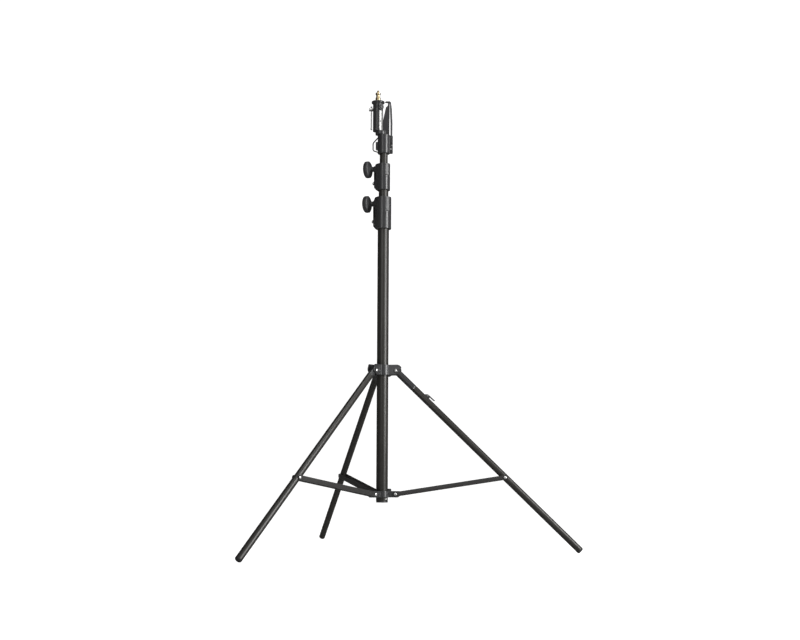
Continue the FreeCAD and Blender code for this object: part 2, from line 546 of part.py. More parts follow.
def make_head():
    """The head, made with local -X to the socket's side, then turned about the column."""
    spot = around(HEAD_TURN)
    socket_x = -value("Dims.socket_offset")
    low = value("Dims.head_low")
    top = value("Dims.head_top")
    floor = top + value("Dims.foot_wall")

    barrel = turned("head_barrel", ((0, low), ("Dims.head_r - 1", low), ("Dims.head_r", low + 1),
                                    ("Dims.head_r", top - 1.5), ("Dims.head_r - 1.5", top), (0, top)))
    cheek_wide = 15.6
    cheeks = plate("head_cheeks", ((10, low + 2), (26, low + 2), (28, low + 4), (28, top - 6),
                                   (25, top - 3), (10, top - 3)), cheek_wide)
    ear = plate("loop_ear", ((-16, low + 12), (-23, low + 12), (-25, low + 15), (-25, low + 36),
                             (-16, low + 38)), 9)
    blank = fuse("head_blank", barrel, cheeks, ear)
    slot = block("catch_slot", (30, 9.6, top - low + 20), ("Dims.head_r - 2.9", -4.8, low - 10))
    bore = rod("head_bore", "Dims.second_od / 2", THROUGH, (0, 0, f"Dims.second_head - {THROUGH}"))
    window = block("cheek_window", (5, 40, 9), (21.2, -20, low + 23))
    pin_hole = rod("catch_pin_hole", "Dims.catch_pin_r", 40, ("Dims.catch_x", -20, "Dims.catch_z"), Y_AXIS)
    named(cut("head_block", blank, slot, bore, window, pin_hole), "head_block", spot)

    seam = socket_x + value("Dims.socket_r") - 0.6
    web = plate("bracket_web", (
        (-26, top), (17, top), (17.4, top + 63), (17.4, top + 101), (12, top + 101), (12, top + 92),
        (6, top + 87), (seam, top + 43), (seam, floor), (-26, floor)), 14)
    base = rod("bracket_base", 16.5, "Dims.foot_wall", (-9, 0, top))
    socket_room = rod("bracket_room", "Dims.socket_r", 200, (socket_x, 0, floor))
    named(cut("head_bracket", fuse("bracket_blank", web, base), socket_room), "head_bracket", spot)

    socket_spot = spot.multiply(placed((socket_x, 0, 0)))
    flange_low = value("Dims.socket_top") - 5
    socket = turned("socket_barrel", (
        ("Dims.socket_bore_r", floor + 6), ("Dims.socket_bore_r", "Dims.socket_top"),
        ("Dims.flange_r - 1", "Dims.socket_top"), ("Dims.flange_r", "Dims.socket_top - 1"),
        ("Dims.flange_r", flange_low), ("Dims.socket_r", flange_low - 2), ("Dims.socket_r", floor),
        (0, floor), (0, floor + 6)))
    facing = V(math.sin(math.radians(BUTTON_TURN)), -math.cos(math.radians(BUTTON_TURN)), 0)
    button_at = (0, 0, "Dims.button_z")
    notch = block("bar_notch", (12, 6.8, 20), (-29, -3.4, flange_low - 4))
    button_hole = rod("button_hole", "Dims.button_hole_r", 40, button_at, facing)
    tommy_hole = rod("tommy_hole", "Dims.tommy_r + Dims.pin_play", 40, (0, 0, "Dims.tommy_z"), -X_AXIS)
    named(cut("head_socket", socket, notch, button_hole, tommy_hole), "head_socket", socket_spot)
    bezel = tube("bezel_ring", 9.2, "Dims.button_hole_r", 6,
                 (facing.x * 13, facing.y * 13, "Dims.button_z"), facing)
    bezel_room = rod("bezel_room", "Dims.socket_r", THROUGH, (0, 0, f"Dims.button_z - {THROUGH} / 2"))
    named(cut("bezel", bezel, bezel_room), "button_bezel", socket_spot)
    button = turned("button", ((0, 15.9), ("Dims.button_r", 15.9), ("Dims.button_r", 20.6),
                               ("Dims.button_r - 1.2", 21.8), (0, 22.4)))
    named(button, "release_button", socket_spot.multiply(placed(button_at, facing)))

    strip = tube("scale_ring", "Dims.socket_r + 0.5", "Dims.socket_r", 62, (0, 0, floor + 1))
    sector = doc.addObject("Part::Cylinder", "scale_sector")
    bind(sector, Radius=30, Height=80, Angle=50)
    sector.Placement = FreeCAD.Placement(V(0, 0, floor - 5), FreeCAD.Rotation(Z_AXIS, -74))
    named(common("scale_plate_solid", strip, sector), "scale_plate", socket_spot)

    path = [V(-15, 0, low + 54), V(-33, 0, low + 34), V(-33, 0, low + 10), V(-15, 0, low + 4)]
    bend = 6.0
    edges = []
    start = path[0]
    for before, corner, after in zip(path, path[1:], path[2:]):
        enter = corner + (before - corner).normalize() * bend
        leave = corner + (after - corner).normalize() * bend
        middle = (enter + leave) * 0.225 + corner * 0.55
        edges.append(Part.LineSegment(start, enter).toShape())
        edges.append(Part.Arc(enter, middle, leave).toShape())
        start = leave
    edges.append(Part.LineSegment(start, path[-1]).toShape())
    wire = Part.Wire(edges)
    section = Part.Wire([Part.Circle(path[0], path[1] - path[0], value("Dims.loop_wire_r")).toShape()])
    loop = doc.addObject("Part::Feature", "loop_wire")
    loop.Shape = wire.makePipeShell([section], True, False)
    room = rod("loop_room", "Dims.head_r", 120, (0, 0, low - 20))
    named(cut("cable_loop", loop, room), "cable_loop", spot)

    # The catch lever: a long tapering arm hinged on the block, its nose beside the socket's flange.
    nose = value("Dims.socket_top") - 4
    arm = plate("catch_arm", (
        ("Dims.catch_x - 2.6", 1211), ("Dims.catch_x + 2.6", 1211), ("Dims.catch_x + 3.4", 1221),
        (26.4, 1262), (26.6, 1300), (24.6, 1345), (21.5, nose + 2), (18, nose + 5), (7, nose + 5),
        (3, nose + 2.4), (4, nose + 1), (17.8, nose), (18.6, 1340), (20.2, 1300), (20.4, 1262),
        ("Dims.catch_x - 2.6", 1235)), 6.4)
    catch_bore = rod("catch_bore", "Dims.catch_pin_r + Dims.pin_play", 40,
                     ("Dims.catch_x", -20, "Dims.catch_z"), Y_AXIS)
    named(cut("catch", arm, catch_bore), "catch_lever", spot)
    named(rod("catch_pin_rod", "Dims.catch_pin_r", cheek_wide), "catch_pin",
          spot.multiply(placed(("Dims.catch_x", -cheek_wide / 2, "Dims.catch_z"), Y_AXIS)))
    named(tube("catch_coil", "Dims.catch_pin_r + 0.75", "Dims.catch_pin_r + 0.05", 1.2), "catch_spring",
          spot.multiply(placed(("Dims.catch_x", 3.4, "Dims.catch_z"), Y_AXIS)))

    # The tommy screw in the socket's side, and its sliding bar, which hangs in the cross hole.
    screw = turned("tommy_blank", ((0, 12.9), ("Dims.tommy_r", 12.9), ("Dims.tommy_r", 15.8), (5, 15.8),
                                   (5, 27), (4, 28), (0, 28)))
    screw.Placement = placed((0, 0, "Dims.tommy_z"), -X_AXIS)
    cross = rod("tommy_cross", "Dims.bar_r + 0.1", 40, ("-Dims.bar_out", 0, "Dims.tommy_z - 20"))
    named(cut("tommy", screw, cross), "tommy_screw", socket_spot)
    bar = turned("tommy_rod", (
        (0, -65), (1.6, -65), (2.9, -63.5), (2.9, -60), ("Dims.bar_r", -58.5), ("Dims.bar_r", 5.6),
        (2.9, 6.6), (2.9, 9.6), (1.6, 11), (0, 11)))
    named(bar, "tommy_bar", socket_spot.multiply(placed(("-Dims.bar_out", 0, "Dims.tommy_z"))))

    # The removable stud: a steel shank in the socket and a turned brass stud with a thread on top.
    shank = turned("shank", (
        (0, floor + 10), (9, floor + 10), ("Dims.socket_bore_r - 0.1", floor + 13),
        ("Dims.socket_bore_r - 0.1", "Dims.socket_top + 0.3"), (13.5, "Dims.socket_top + 0.3"),
        (11, "Dims.stud_base"), (0, "Dims.stud_base")))
    named(shank, "spigot_shank", socket_spot)
    stud = turned("stud", (
        (0, "Dims.stud_base"), ("Dims.stud_r", "Dims.stud_base"), ("Dims.stud_r", "Dims.stud_base + 9"),
        ("Dims.stud_r - 1.8", "Dims.stud_base + 10.5"), ("Dims.stud_r - 1.8", "Dims.stud_top - 7"),
        ("Dims.stud_r", "Dims.stud_top - 5.5"), ("Dims.stud_r", "Dims.stud_top - 0.6"),
        ("Dims.stud_r - 0.6", "Dims.stud_top"), ("Dims.tip_r", "Dims.stud_top"),
        ("Dims.tip_r", "Dims.stud_tip - 0.8"), ("Dims.tip_r - 0.8", "Dims.stud_tip"), (0, "Dims.stud_tip")))
    named(stud, "spigot_stud", socket_spot)


make_column()
make_brace_collar()
make_leg_collar()
for leg_name, leg_turn in LEGS.items():
    make_leg(leg_name, leg_turn)
    make_brace(leg_name, leg_turn)
make_levelling_lock()
low_spot = make_lock("lower_lock", "Dims.low_lock_z", "Dims.low_lock_tall", "Dims.low_barrel_r",
                     "Dims.low_boss_reach", "Dims.column_od / 2", "Dims.first_od / 2", "Dims.column_head",
                     "Dims.low_knob_up", "Dims.low_bolt_up")
make_knob("lower_knob", low_spot, "Dims.low_boss_reach", "Dims.column_od / 2", "Dims.low_knob_up")
up_spot = make_lock("upper_lock", "Dims.up_lock_z", "Dims.up_lock_tall", "Dims.up_barrel_r",
                    "Dims.up_boss_reach", "Dims.first_od / 2", "Dims.second_od / 2", "Dims.first_head",
                    "Dims.up_knob_up", "Dims.up_bolt_up")
make_knob("upper_knob", up_spot, "Dims.up_boss_reach", "Dims.first_od / 2", "Dims.up_knob_up")
make_riser("riser_1", "Dims.first_od", "Dims.first_foot", "Dims.first_head",
           "Dims.column_od / 2 - Dims.column_wall")
make_riser("riser_2", "Dims.second_od", "Dims.second_foot", "Dims.second_head",
           "Dims.first_od / 2 - Dims.riser_wall")
make_head()

doc.recompute()

for obj in doc.Objects:
    if "Invalid" in obj.State or "Error" in obj.State:
        raise RuntimeError(f"{obj.Name} failed: {obj.State}")
for obj in sub_parts:
    if obj.Shape.isNull() or not obj.Shape.isValid():
        raise RuntimeError(f"{obj.Label} has no valid shape")

os.makedirs("parts", exist_ok=True)
for obj in sub_parts:
    obj.Shape.exportStep(f"parts/{obj.Label}.step")
print(len(sub_parts), "sub-parts written")
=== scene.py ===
import json
import math

import bmesh
import bpy
from mathutils import Matrix, Vector


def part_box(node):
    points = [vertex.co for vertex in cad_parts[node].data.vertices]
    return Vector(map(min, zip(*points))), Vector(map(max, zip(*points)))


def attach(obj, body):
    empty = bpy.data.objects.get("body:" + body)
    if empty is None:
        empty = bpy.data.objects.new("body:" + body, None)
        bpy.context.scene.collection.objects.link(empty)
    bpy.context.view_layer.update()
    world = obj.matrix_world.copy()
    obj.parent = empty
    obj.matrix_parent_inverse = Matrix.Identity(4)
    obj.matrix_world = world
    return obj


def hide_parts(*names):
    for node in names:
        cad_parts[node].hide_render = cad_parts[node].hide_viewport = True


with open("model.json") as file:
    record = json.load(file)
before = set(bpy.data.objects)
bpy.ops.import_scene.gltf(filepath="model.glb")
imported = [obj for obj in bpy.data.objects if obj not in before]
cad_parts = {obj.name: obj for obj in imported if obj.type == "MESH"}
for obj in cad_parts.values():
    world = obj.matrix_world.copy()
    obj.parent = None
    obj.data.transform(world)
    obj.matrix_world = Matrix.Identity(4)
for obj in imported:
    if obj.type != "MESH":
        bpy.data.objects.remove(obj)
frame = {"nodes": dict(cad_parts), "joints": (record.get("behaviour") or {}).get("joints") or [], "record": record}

# A folding lighting stand: black drawn tubes, powder-coated castings, plated rivets and screws,
# ribbed hand knobs, and a turned brass stud on an offset socket.

MM = 0.001
UP = Vector((0, 0, 1))
nodes = frame["nodes"]
record = frame["record"]
joints = {joint["name"]: joint for joint in frame["joints"]}
mounts = {mount["name"]: mount for mount in record["mounts"]}
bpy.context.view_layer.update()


# ---------------------------------------------------------------- places on the stand

def axes(origin, along, side):
    """A place whose local Z runs along a direction, with local X turned towards a side."""
    z = Vector(along).normalized()
    x = (Vector(side) - z * Vector(side).dot(z)).normalized()
    y = z.cross(x)
    place = Matrix((x, y, z)).transposed().to_4x4()
    place.translation = Vector(origin)
    return place


def extent(node, place):
    """Lowest and highest corners of a CAD node, seen from a place of its own."""
    local = place.inverted()
    corners = [local @ vertex.co for vertex in nodes[node].data.vertices]
    low = Vector([min(corner[i] for corner in corners) for i in range(3)])
    high = Vector([max(corner[i] for corner in corners) for i in range(3)])
    return low, high


def middle(node):
    low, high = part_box(node)
    return (low + high) / 2


COLUMN = Matrix.Identity(4)
slide = Vector(joints["levelling_leg_slide"]["axis"])
LEAN = math.atan2(slide.x, -slide.z)
SIDES = ("right", "rear", "left")
outward = {}
leg_place = {}
brace_place = {}
for side in SIDES:
    hinge = joints[f"leg_{side}_hinge"]
    outward[side] = UP.cross(Vector(hinge["axis"])).normalized()
    climb = UP * math.cos(LEAN) - outward[side] * math.sin(LEAN)
    leg_place[side] = axes(hinge["pos_m"], climb, outward[side])
    root = Vector(joints[f"brace_{side}_hinge"]["pos_m"])
    brace_place[side] = axes(root, middle(f"brace_{side}_rivets") - root, UP)

stud_spot = Vector(mounts["stud"]["pos_m"])
SOCKET = axes((stud_spot.x, stud_spot.y, 0), UP, -Vector(joints["tommy_screw_turn"]["axis"]))
TOMMY = axes(joints["tommy_screw_turn"]["pos_m"], joints["tommy_screw_turn"]["axis"], UP)
BUTTON = axes((stud_spot.x, stud_spot.y, middle("release_button").z),
              -Vector(joints["release_button_press"]["axis"]), UP)


# ---------------------------------------------------------------- mesh makers

ROUND_STEPS = 4


def softened(outline, ring):
    """An outline whose corners are rounded wherever a third number gives a radius."""
    points = []
    for i, corner in enumerate(outline):
        here = Vector(corner[:2])
        easing = corner[2] if len(corner) > 2 else 0
        if not easing or (not ring and i in (0, len(outline) - 1)):
            points.append(here)
            continue
        before = Vector(outline[i - 1][:2]) - here
        after = Vector(outline[(i + 1) % len(outline)][:2]) - here
        enter = here + before.normalized() * min(easing, before.length * 0.45)
        leave = here + after.normalized() * min(easing, after.length * 0.45)
        for step in range(ROUND_STEPS + 1):
            t = step / ROUND_STEPS
            points.append(enter * (1 - t) ** 2 + here * 2 * t * (1 - t) + leave * t * t)
    return points


def mesh_object(name, mesh):
    thing = bpy.data.objects.new(name, mesh)
    bpy.context.scene.collection.objects.link(thing)
    return thing


def smooth(thing, sharp=35):
    """Smooth shading, broken at edges sharper than an angle in degrees."""
    thing.data.shade_smooth()
    thing.data.set_sharp_from_angle(angle=math.radians(sharp))
    return thing


def turned(name, outline, place, ring=False, segments=72, flutes=0, flute_depth=0.0, fluted=None):
    """A piece turned about local Z from (radius, height, rounding) corners, in metres.

    A ring's outline is closed. Flutes are scallops cut into the radii between two limits. The
    UV map runs round the piece and along its outline, both in metres.
    """
    points = softened(outline, ring)
    spans = list(zip(points, points[1:] + points[:1] if ring else points[1:]))
    shape = bmesh.new()
    rows = []
    for point in points:
        if point.x < 1e-7:
            rows.append([shape.verts.new(place @ Vector((0, 0, point.y)))])
            continue
        row = []
        for k in range(segments):
            turn = 2 * math.pi * k / segments
            radius = point.x
            if flutes and fluted[0] <= radius <= fluted[1]:
                radius -= flute_depth * (0.5 - 0.5 * math.cos(flutes * turn))
            row.append(shape.verts.new(
                place @ Vector((radius * math.cos(turn), radius * math.sin(turn), point.y))))
        rows.append(row)
    chart = shape.loops.layers.uv.new("surface")
    girth = 2 * math.pi * max(point.x for point in points)
    run = 0.0
    for i, (start, end) in enumerate(spans):
        low = rows[i]
        high = rows[(i + 1) % len(rows)]
        step = (end - start).length
        for k in range(segments):
            n = (k + 1) % segments
            around_low = girth * k / segments
            around_high = girth * (k + 1) / segments
            ring_corners = [(low[k % len(low)], around_low, run), (low[n % len(low)], around_high, run),
                            (high[n % len(high)], around_high, run + step),
                            (high[k % len(high)], around_low, run + step)]
            corners = []
            for corner in ring_corners:
                if corner[0] not in [kept[0] for kept in corners]:
                    corners.append(corner)
            if len(corners) < 3:
                continue
            face = shape.faces.new([corner[0] for corner in corners])
            for loop, corner in zip(face.loops, corners):
                loop[chart].uv = (corner[1], corner[2])
        run += step
    bmesh.ops.recalc_face_normals(shape, faces=shape.faces)
    mesh = bpy.data.meshes.new(name)
    shape.to_mesh(mesh)
    shape.free()
    return smooth(mesh_object(name, mesh))


def settled(thing):
    """The object with its modifiers worked into a plain mesh."""
    bpy.context.view_layer.update()
    finished = bpy.data.meshes.new_from_object(
        thing.evaluated_get(bpy.context.evaluated_depsgraph_get()))
    thing.modifiers.clear()
    thing.data = finished
    return thing


def cast(name, node, grain, passes):
    """A casting: its CAD solid with every edge and inside corner eased, as metal leaves a mould."""
    mesh = nodes[node].data.copy()
    shape = bmesh.new()
    shape.from_mesh(mesh)
    bmesh.ops.remove_doubles(shape, verts=shape.verts, dist=0.005 * MM)
    shape.to_mesh(mesh)
    shape.free()
    thing = mesh_object(name, mesh)
    skin = thing.modifiers.new("skin", "REMESH")
    skin.mode = "VOXEL"
    skin.voxel_size = grain
    ease = thing.modifiers.new("eased edges", "SMOOTH")
    ease.factor = 0.5
    ease.iterations = passes
    return smooth(settled(thing), 60)


def fit(thing, body, slot, finish, *stands_for):
    """Give a finished piece its material, its body and the CAD nodes that it stands for."""
    thing.data.materials.clear()
    thing.data.materials.append(finish)
    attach(thing, body)
    if stands_for:
        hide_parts(*stands_for)
    return thing


def joined(name, things):
    """Several meshes of one body as one piece."""
    shape = bmesh.new()
    for thing in things:
        shape.from_mesh(thing.data)
        bpy.data.objects.remove(thing)
    mesh = bpy.data.meshes.new(name)
    shape.to_mesh(mesh)
    shape.free()
    return smooth(mesh_object(name, mesh))


# ---------------------------------------------------------------- geometry node trees

def socket_id(tree, name):
    return next(item.identifier for item in tree.interface.items_tree
                if item.item_type == "SOCKET" and item.in_out == "INPUT" and item.name == name)


def worked(name, mesh, tree, **sizes):
    """Run a geometry tree on a mesh with named sizes, and keep the plain mesh that comes out."""
    thing = mesh_object(name, mesh)
    maker = thing.modifiers.new(tree.name, "NODES")
    maker.node_group = tree
    for size, number in sizes.items():
        maker[socket_id(tree, size.replace("_", " "))] = number
    return smooth(settled(thing))


def started_tree(name, sizes, count=None):
    """An empty tree with its way in, and an input for each named size and for a count."""
    tree = bpy.data.node_groups.new(name, "GeometryNodeTree")
    ports = tree.interface
    ports.new_socket("Geometry", in_out="INPUT", socket_type="NodeSocketGeometry")
    for size in sizes:
        ports.new_socket(size, in_out="INPUT", socket_type="NodeSocketFloat")
    if count:
        ports.new_socket(count, in_out="INPUT", socket_type="NodeSocketInt")
    ports.new_socket("Geometry", in_out="OUTPUT", socket_type="NodeSocketGeometry")
    return tree, tree.nodes.new("NodeGroupInput")


def ended_tree(tree, shape, finish):
    """The tree with its last shape given a material and sent out."""
    dressed = tree.nodes.new("GeometryNodeSetMaterial")
    dressed.inputs["Material"].default_value = finish
    way_out = tree.nodes.new("NodeGroupOutput")
    tree.links.new(shape.outputs["Geometry"], dressed.inputs["Geometry"])
    tree.links.new(dressed.outputs["Geometry"], way_out.inputs["Geometry"])
    return tree


def rolled_corner(tree, turn, radius):
    """A point whose X and Y lie at a turn and a radius about Z."""
    corner = tree.nodes.new("ShaderNodeCombineXYZ")
    for wave, way in (("COSINE", "X"), ("SINE", "Y")):
        swing = tree.nodes.new("ShaderNodeMath")
        swing.operation = wave
        tree.links.new(turn.outputs["Value"], swing.inputs[0])
        reach = tree.nodes.new("ShaderNodeMath")
        reach.operation = "MULTIPLY"
        tree.links.new(swing.outputs["Value"], reach.inputs[0])
        tree.links.new(radius.outputs["Value"], reach.inputs[1])
        tree.links.new(reach.outputs["Value"], corner.inputs[way])
    return corner


def rivet_tree(finish):
    """Rivets on points: a shank and a domed head on each end, laid along each point's own line."""
    tree, entry = started_tree("rivets", ("grip", "shank radius", "head radius", "head rise"))
    link = tree.links.new

    disc = tree.nodes.new("GeometryNodeMeshCircle")
    disc.fill_type = "NGON"
    disc.inputs["Vertices"].default_value = 28
    link(entry.outputs["head radius"], disc.inputs["Radius"])
    dome = disc.outputs["Mesh"]
    top = None
    for share, width in ((0.35, 0.98), (0.30, 0.86), (0.22, 0.70), (0.13, 0.55)):
        climb = tree.nodes.new("ShaderNodeMath")
        climb.operation = "MULTIPLY"
        climb.inputs[1].default_value = share
        link(entry.outputs["head rise"], climb.inputs[0])
        raised = tree.nodes.new("GeometryNodeExtrudeMesh")
        raised.mode = "FACES"
        raised.inputs["Individual"].default_value = False
        straight = tree.nodes.new("ShaderNodeCombineXYZ")
        straight.inputs["Z"].default_value = 1.0
        link(straight.outputs["Vector"], raised.inputs["Offset"])
        link(climb.outputs["Value"], raised.inputs["Offset Scale"])
        link(dome, raised.inputs["Mesh"])
        if top:
            link(top, raised.inputs["Selection"])
        narrowed = tree.nodes.new("GeometryNodeScaleElements")
        narrowed.inputs["Scale"].default_value = width
        link(raised.outputs["Mesh"], narrowed.inputs["Geometry"])
        link(raised.outputs["Top"], narrowed.inputs["Selection"])
        dome = narrowed.outputs["Geometry"]
        top = raised.outputs["Top"]
    base = tree.nodes.new("GeometryNodeFlipFaces")
    link(disc.outputs["Mesh"], base.inputs["Mesh"])
    head = tree.nodes.new("GeometryNodeJoinGeometry")
    link(dome, head.inputs["Geometry"])
    link(base.outputs["Mesh"], head.inputs["Geometry"])
    closed = tree.nodes.new("GeometryNodeMergeByDistance")
    closed.inputs["Distance"].default_value = 0.002 * MM
    link(head.outputs["Geometry"], closed.inputs["Geometry"])

    half = tree.nodes.new("ShaderNodeMath")
    half.operation = "MULTIPLY"
    half.inputs[1].default_value = 0.5
    link(entry.outputs["grip"], half.inputs[0])
    lift = tree.nodes.new("ShaderNodeCombineXYZ")
    link(half.outputs["Value"], lift.inputs["Z"])
    near = tree.nodes.new("GeometryNodeTransform")
    link(closed.outputs["Geometry"], near.inputs["Geometry"])
    link(lift.outputs["Vector"], near.inputs["Translation"])
    far = tree.nodes.new("GeometryNodeTransform")
    far.inputs["Rotation"].default_value = (math.pi, 0, 0)
    link(near.outputs["Geometry"], far.inputs["Geometry"])
    shank = tree.nodes.new("GeometryNodeMeshCylinder")
    shank.inputs["Vertices"].default_value = 24
    link(entry.outputs["shank radius"], shank.inputs["Radius"])
    link(entry.outputs["grip"], shank.inputs["Depth"])
    rivet = tree.nodes.new("GeometryNodeJoinGeometry")
    for part in (near.outputs["Geometry"], far.outputs["Geometry"], shank.outputs["Mesh"]):
        link(part, rivet.inputs["Geometry"])

    line = tree.nodes.new("GeometryNodeInputNamedAttribute")
    line.data_type = "FLOAT_VECTOR"
    line.inputs["Name"].default_value = "line"
    aim = tree.nodes.new("FunctionNodeAlignRotationToVector")
    aim.axis = "Z"
    link(line.outputs["Attribute"], aim.inputs["Vector"])
    spread = tree.nodes.new("GeometryNodeInstanceOnPoints")
    link(entry.outputs["Geometry"], spread.inputs["Points"])
    link(rivet.outputs["Geometry"], spread.inputs["Instance"])
    link(aim.outputs["Rotation"], spread.inputs["Rotation"])
    real = tree.nodes.new("GeometryNodeRealizeInstances")
    link(spread.outputs["Instances"], real.inputs["Geometry"])
    return ended_tree(tree, real, finish)


def rivets(name, tree, spots, **sizes):
    """One piece of rivets, each at a (centre, line) pair."""
    mesh = bpy.data.meshes.new(name)
    mesh.from_pydata([centre for centre, line in spots], [], [])
    lines = mesh.attributes.new("line", "FLOAT_VECTOR", "POINT")
    for entry, (centre, line) in zip(lines.data, spots):
        entry.vector = line
    return worked(name, mesh, tree, **sizes)


def thread_tree(finish):
    """A screw thread: a sheet rolled into a rod whose radius rises and falls along a helix."""
    tree, entry = started_tree("screw thread", ("radius", "length", "pitch", "depth"), "rows")
    link = tree.links.new
    sheet = tree.nodes.new("GeometryNodeMeshGrid")
    sheet.inputs["Size X"].default_value = 1.0
    sheet.inputs["Size Y"].default_value = 1.0
    sheet.inputs["Vertices X"].default_value = 33
    link(entry.outputs["rows"], sheet.inputs["Vertices Y"])
    place = tree.nodes.new("GeometryNodeInputPosition")
    split = tree.nodes.new("ShaderNodeSeparateXYZ")
    link(place.outputs["Position"], split.inputs["Vector"])
    turn = tree.nodes.new("ShaderNodeMath")
    turn.operation = "MULTIPLY"
    turn.inputs[1].default_value = 2 * math.pi
    link(split.outputs["X"], turn.inputs[0])
    share = tree.nodes.new("ShaderNodeMath")
    share.operation = "ADD"
    share.inputs[1].default_value = 0.5
    link(split.outputs["Y"], share.inputs[0])
    height = tree.nodes.new("ShaderNodeMath")
    height.operation = "MULTIPLY"
    link(share.outputs["Value"], height.inputs[0])
    link(entry.outputs["length"], height.inputs[1])
    turns = tree.nodes.new("ShaderNodeMath")
    turns.operation = "DIVIDE"
    link(height.outputs["Value"], turns.inputs[0])
    link(entry.outputs["pitch"], turns.inputs[1])
    helix = tree.nodes.new("ShaderNodeMath")
    helix.operation = "ADD"
    link(turns.outputs["Value"], helix.inputs[0])
    link(split.outputs["X"], helix.inputs[1])
    ridge = tree.nodes.new("ShaderNodeMath")
    ridge.operation = "PINGPONG"
    ridge.inputs[1].default_value = 0.5
    link(helix.outputs["Value"], ridge.inputs[0])
    bite = tree.nodes.new("ShaderNodeMath")
    bite.operation = "MULTIPLY"
    link(ridge.outputs["Value"], bite.inputs[0])
    link(entry.outputs["depth"], bite.inputs[1])
    radius = tree.nodes.new("ShaderNodeMath")
    radius.operation = "SUBTRACT"
    link(entry.outputs["radius"], radius.inputs[0])
    link(bite.outputs["Value"], radius.inputs[1])
    corner = rolled_corner(tree, turn, radius)
    link(height.outputs["Value"], corner.inputs["Z"])
    rolled = tree.nodes.new("GeometryNodeSetPosition")
    link(sheet.outputs["Mesh"], rolled.inputs["Geometry"])
    link(corner.outputs["Vector"], rolled.inputs["Position"])
    closed = tree.nodes.new("GeometryNodeMergeByDistance")
    closed.inputs["Distance"].default_value = 0.002 * MM
    link(rolled.outputs["Geometry"], closed.inputs["Geometry"])
    real = tree.nodes.new("GeometryNodeRealizeInstances")
    link(closed.outputs["Geometry"], real.inputs["Geometry"])
    return ended_tree(tree, real, finish)


def threaded(name, tree, place, radius, length, pitch, depth):
    thing = worked(name, bpy.data.meshes.new(name), tree, radius=radius, length=length,
                   pitch=pitch, depth=depth, rows=int(length / pitch * 8) + 2)
    shape = bmesh.new()
    shape.from_mesh(thing.data)
    bmesh.ops.holes_fill(shape, edges=[edge for edge in shape.edges if edge.is_boundary])
    bmesh.ops.recalc_face_normals(shape, faces=shape.faces)
    shape.to_mesh(thing.data)
    shape.free()
    thing.data.transform(place)
    return thing


def scale_tree(finish):
    """Graduations: short strokes up a strip, each fifth one longer, wrapped round a barrel."""
    tree, entry = started_tree("graduations", ("barrel radius", "step", "stroke", "thickness"), "strokes")
    link = tree.links.new
    rise = tree.nodes.new("ShaderNodeCombineXYZ")
    link(entry.outputs["step"], rise.inputs["Z"])
    ladder = tree.nodes.new("GeometryNodeMeshLine")
    link(entry.outputs["strokes"], ladder.inputs["Count"])
    link(rise.outputs["Vector"], ladder.inputs["Offset"])
    bar = tree.nodes.new("GeometryNodeMeshCube")
    bar.inputs["Vertices Y"].default_value = 9
    size = tree.nodes.new("ShaderNodeCombineXYZ")
    link(entry.outputs["thickness"], size.inputs["X"])
    link(entry.outputs["stroke"], size.inputs["Y"])
    link(entry.outputs["thickness"], size.inputs["Z"])
    link(size.outputs["Vector"], bar.inputs["Size"])
    order = tree.nodes.new("GeometryNodeInputIndex")
    fifth = tree.nodes.new("ShaderNodeMath")
    fifth.operation = "MODULO"
    fifth.inputs[1].default_value = 5
    link(order.outputs["Index"], fifth.inputs[0])
    short = tree.nodes.new("ShaderNodeMath")
    short.operation = "GREATER_THAN"
    short.inputs[1].default_value = 0.5
    link(fifth.outputs["Value"], short.inputs[0])
    length = tree.nodes.new("ShaderNodeMapRange")
    length.inputs["To Min"].default_value = 1.0
    length.inputs["To Max"].default_value = 0.55
    link(short.outputs["Value"], length.inputs["Value"])
    scale = tree.nodes.new("ShaderNodeCombineXYZ")
    scale.inputs["X"].default_value = 1.0
    scale.inputs["Z"].default_value = 1.0
    link(length.outputs["Result"], scale.inputs["Y"])
    spread = tree.nodes.new("GeometryNodeInstanceOnPoints")
    link(ladder.outputs["Mesh"], spread.inputs["Points"])
    link(bar.outputs["Mesh"], spread.inputs["Instance"])
    link(scale.outputs["Vector"], spread.inputs["Scale"])
    real = tree.nodes.new("GeometryNodeRealizeInstances")
    link(spread.outputs["Instances"], real.inputs["Geometry"])
    place = tree.nodes.new("GeometryNodeInputPosition")
    split = tree.nodes.new("ShaderNodeSeparateXYZ")
    link(place.outputs["Position"], split.inputs["Vector"])
    radius = tree.nodes.new("ShaderNodeMath")
    radius.operation = "ADD"
    link(split.outputs["X"], radius.inputs[0])
    link(entry.outputs["barrel radius"], radius.inputs[1])
    turn = tree.nodes.new("ShaderNodeMath")
    turn.operation = "DIVIDE"
    link(split.outputs["Y"], turn.inputs[0])
    link(entry.outputs["barrel radius"], turn.inputs[1])
    corner = rolled_corner(tree, turn, radius)
    link(split.outputs["Z"], corner.inputs["Z"])
    wrapped = tree.nodes.new("GeometryNodeSetPosition")
    link(real.outputs["Geometry"], wrapped.inputs["Geometry"])
    link(corner.outputs["Vector"], wrapped.inputs["Position"])
    return ended_tree(tree, wrapped, finish)


# ---------------------------------------------------------------- materials

COLUMN_STEP = 220


def lay_out(*columns):
    """Set the nodes of a material in columns, left to right."""
    for column, members in enumerate(columns):
        for row, node in enumerate(members):
            node.location = (column * COLUMN_STEP, -row * COLUMN_STEP)


def empty_finish(name):
    finish = bpy.data.materials.new(name)
    finish.use_nodes = True
    finish.node_tree.nodes.clear()
    return finish


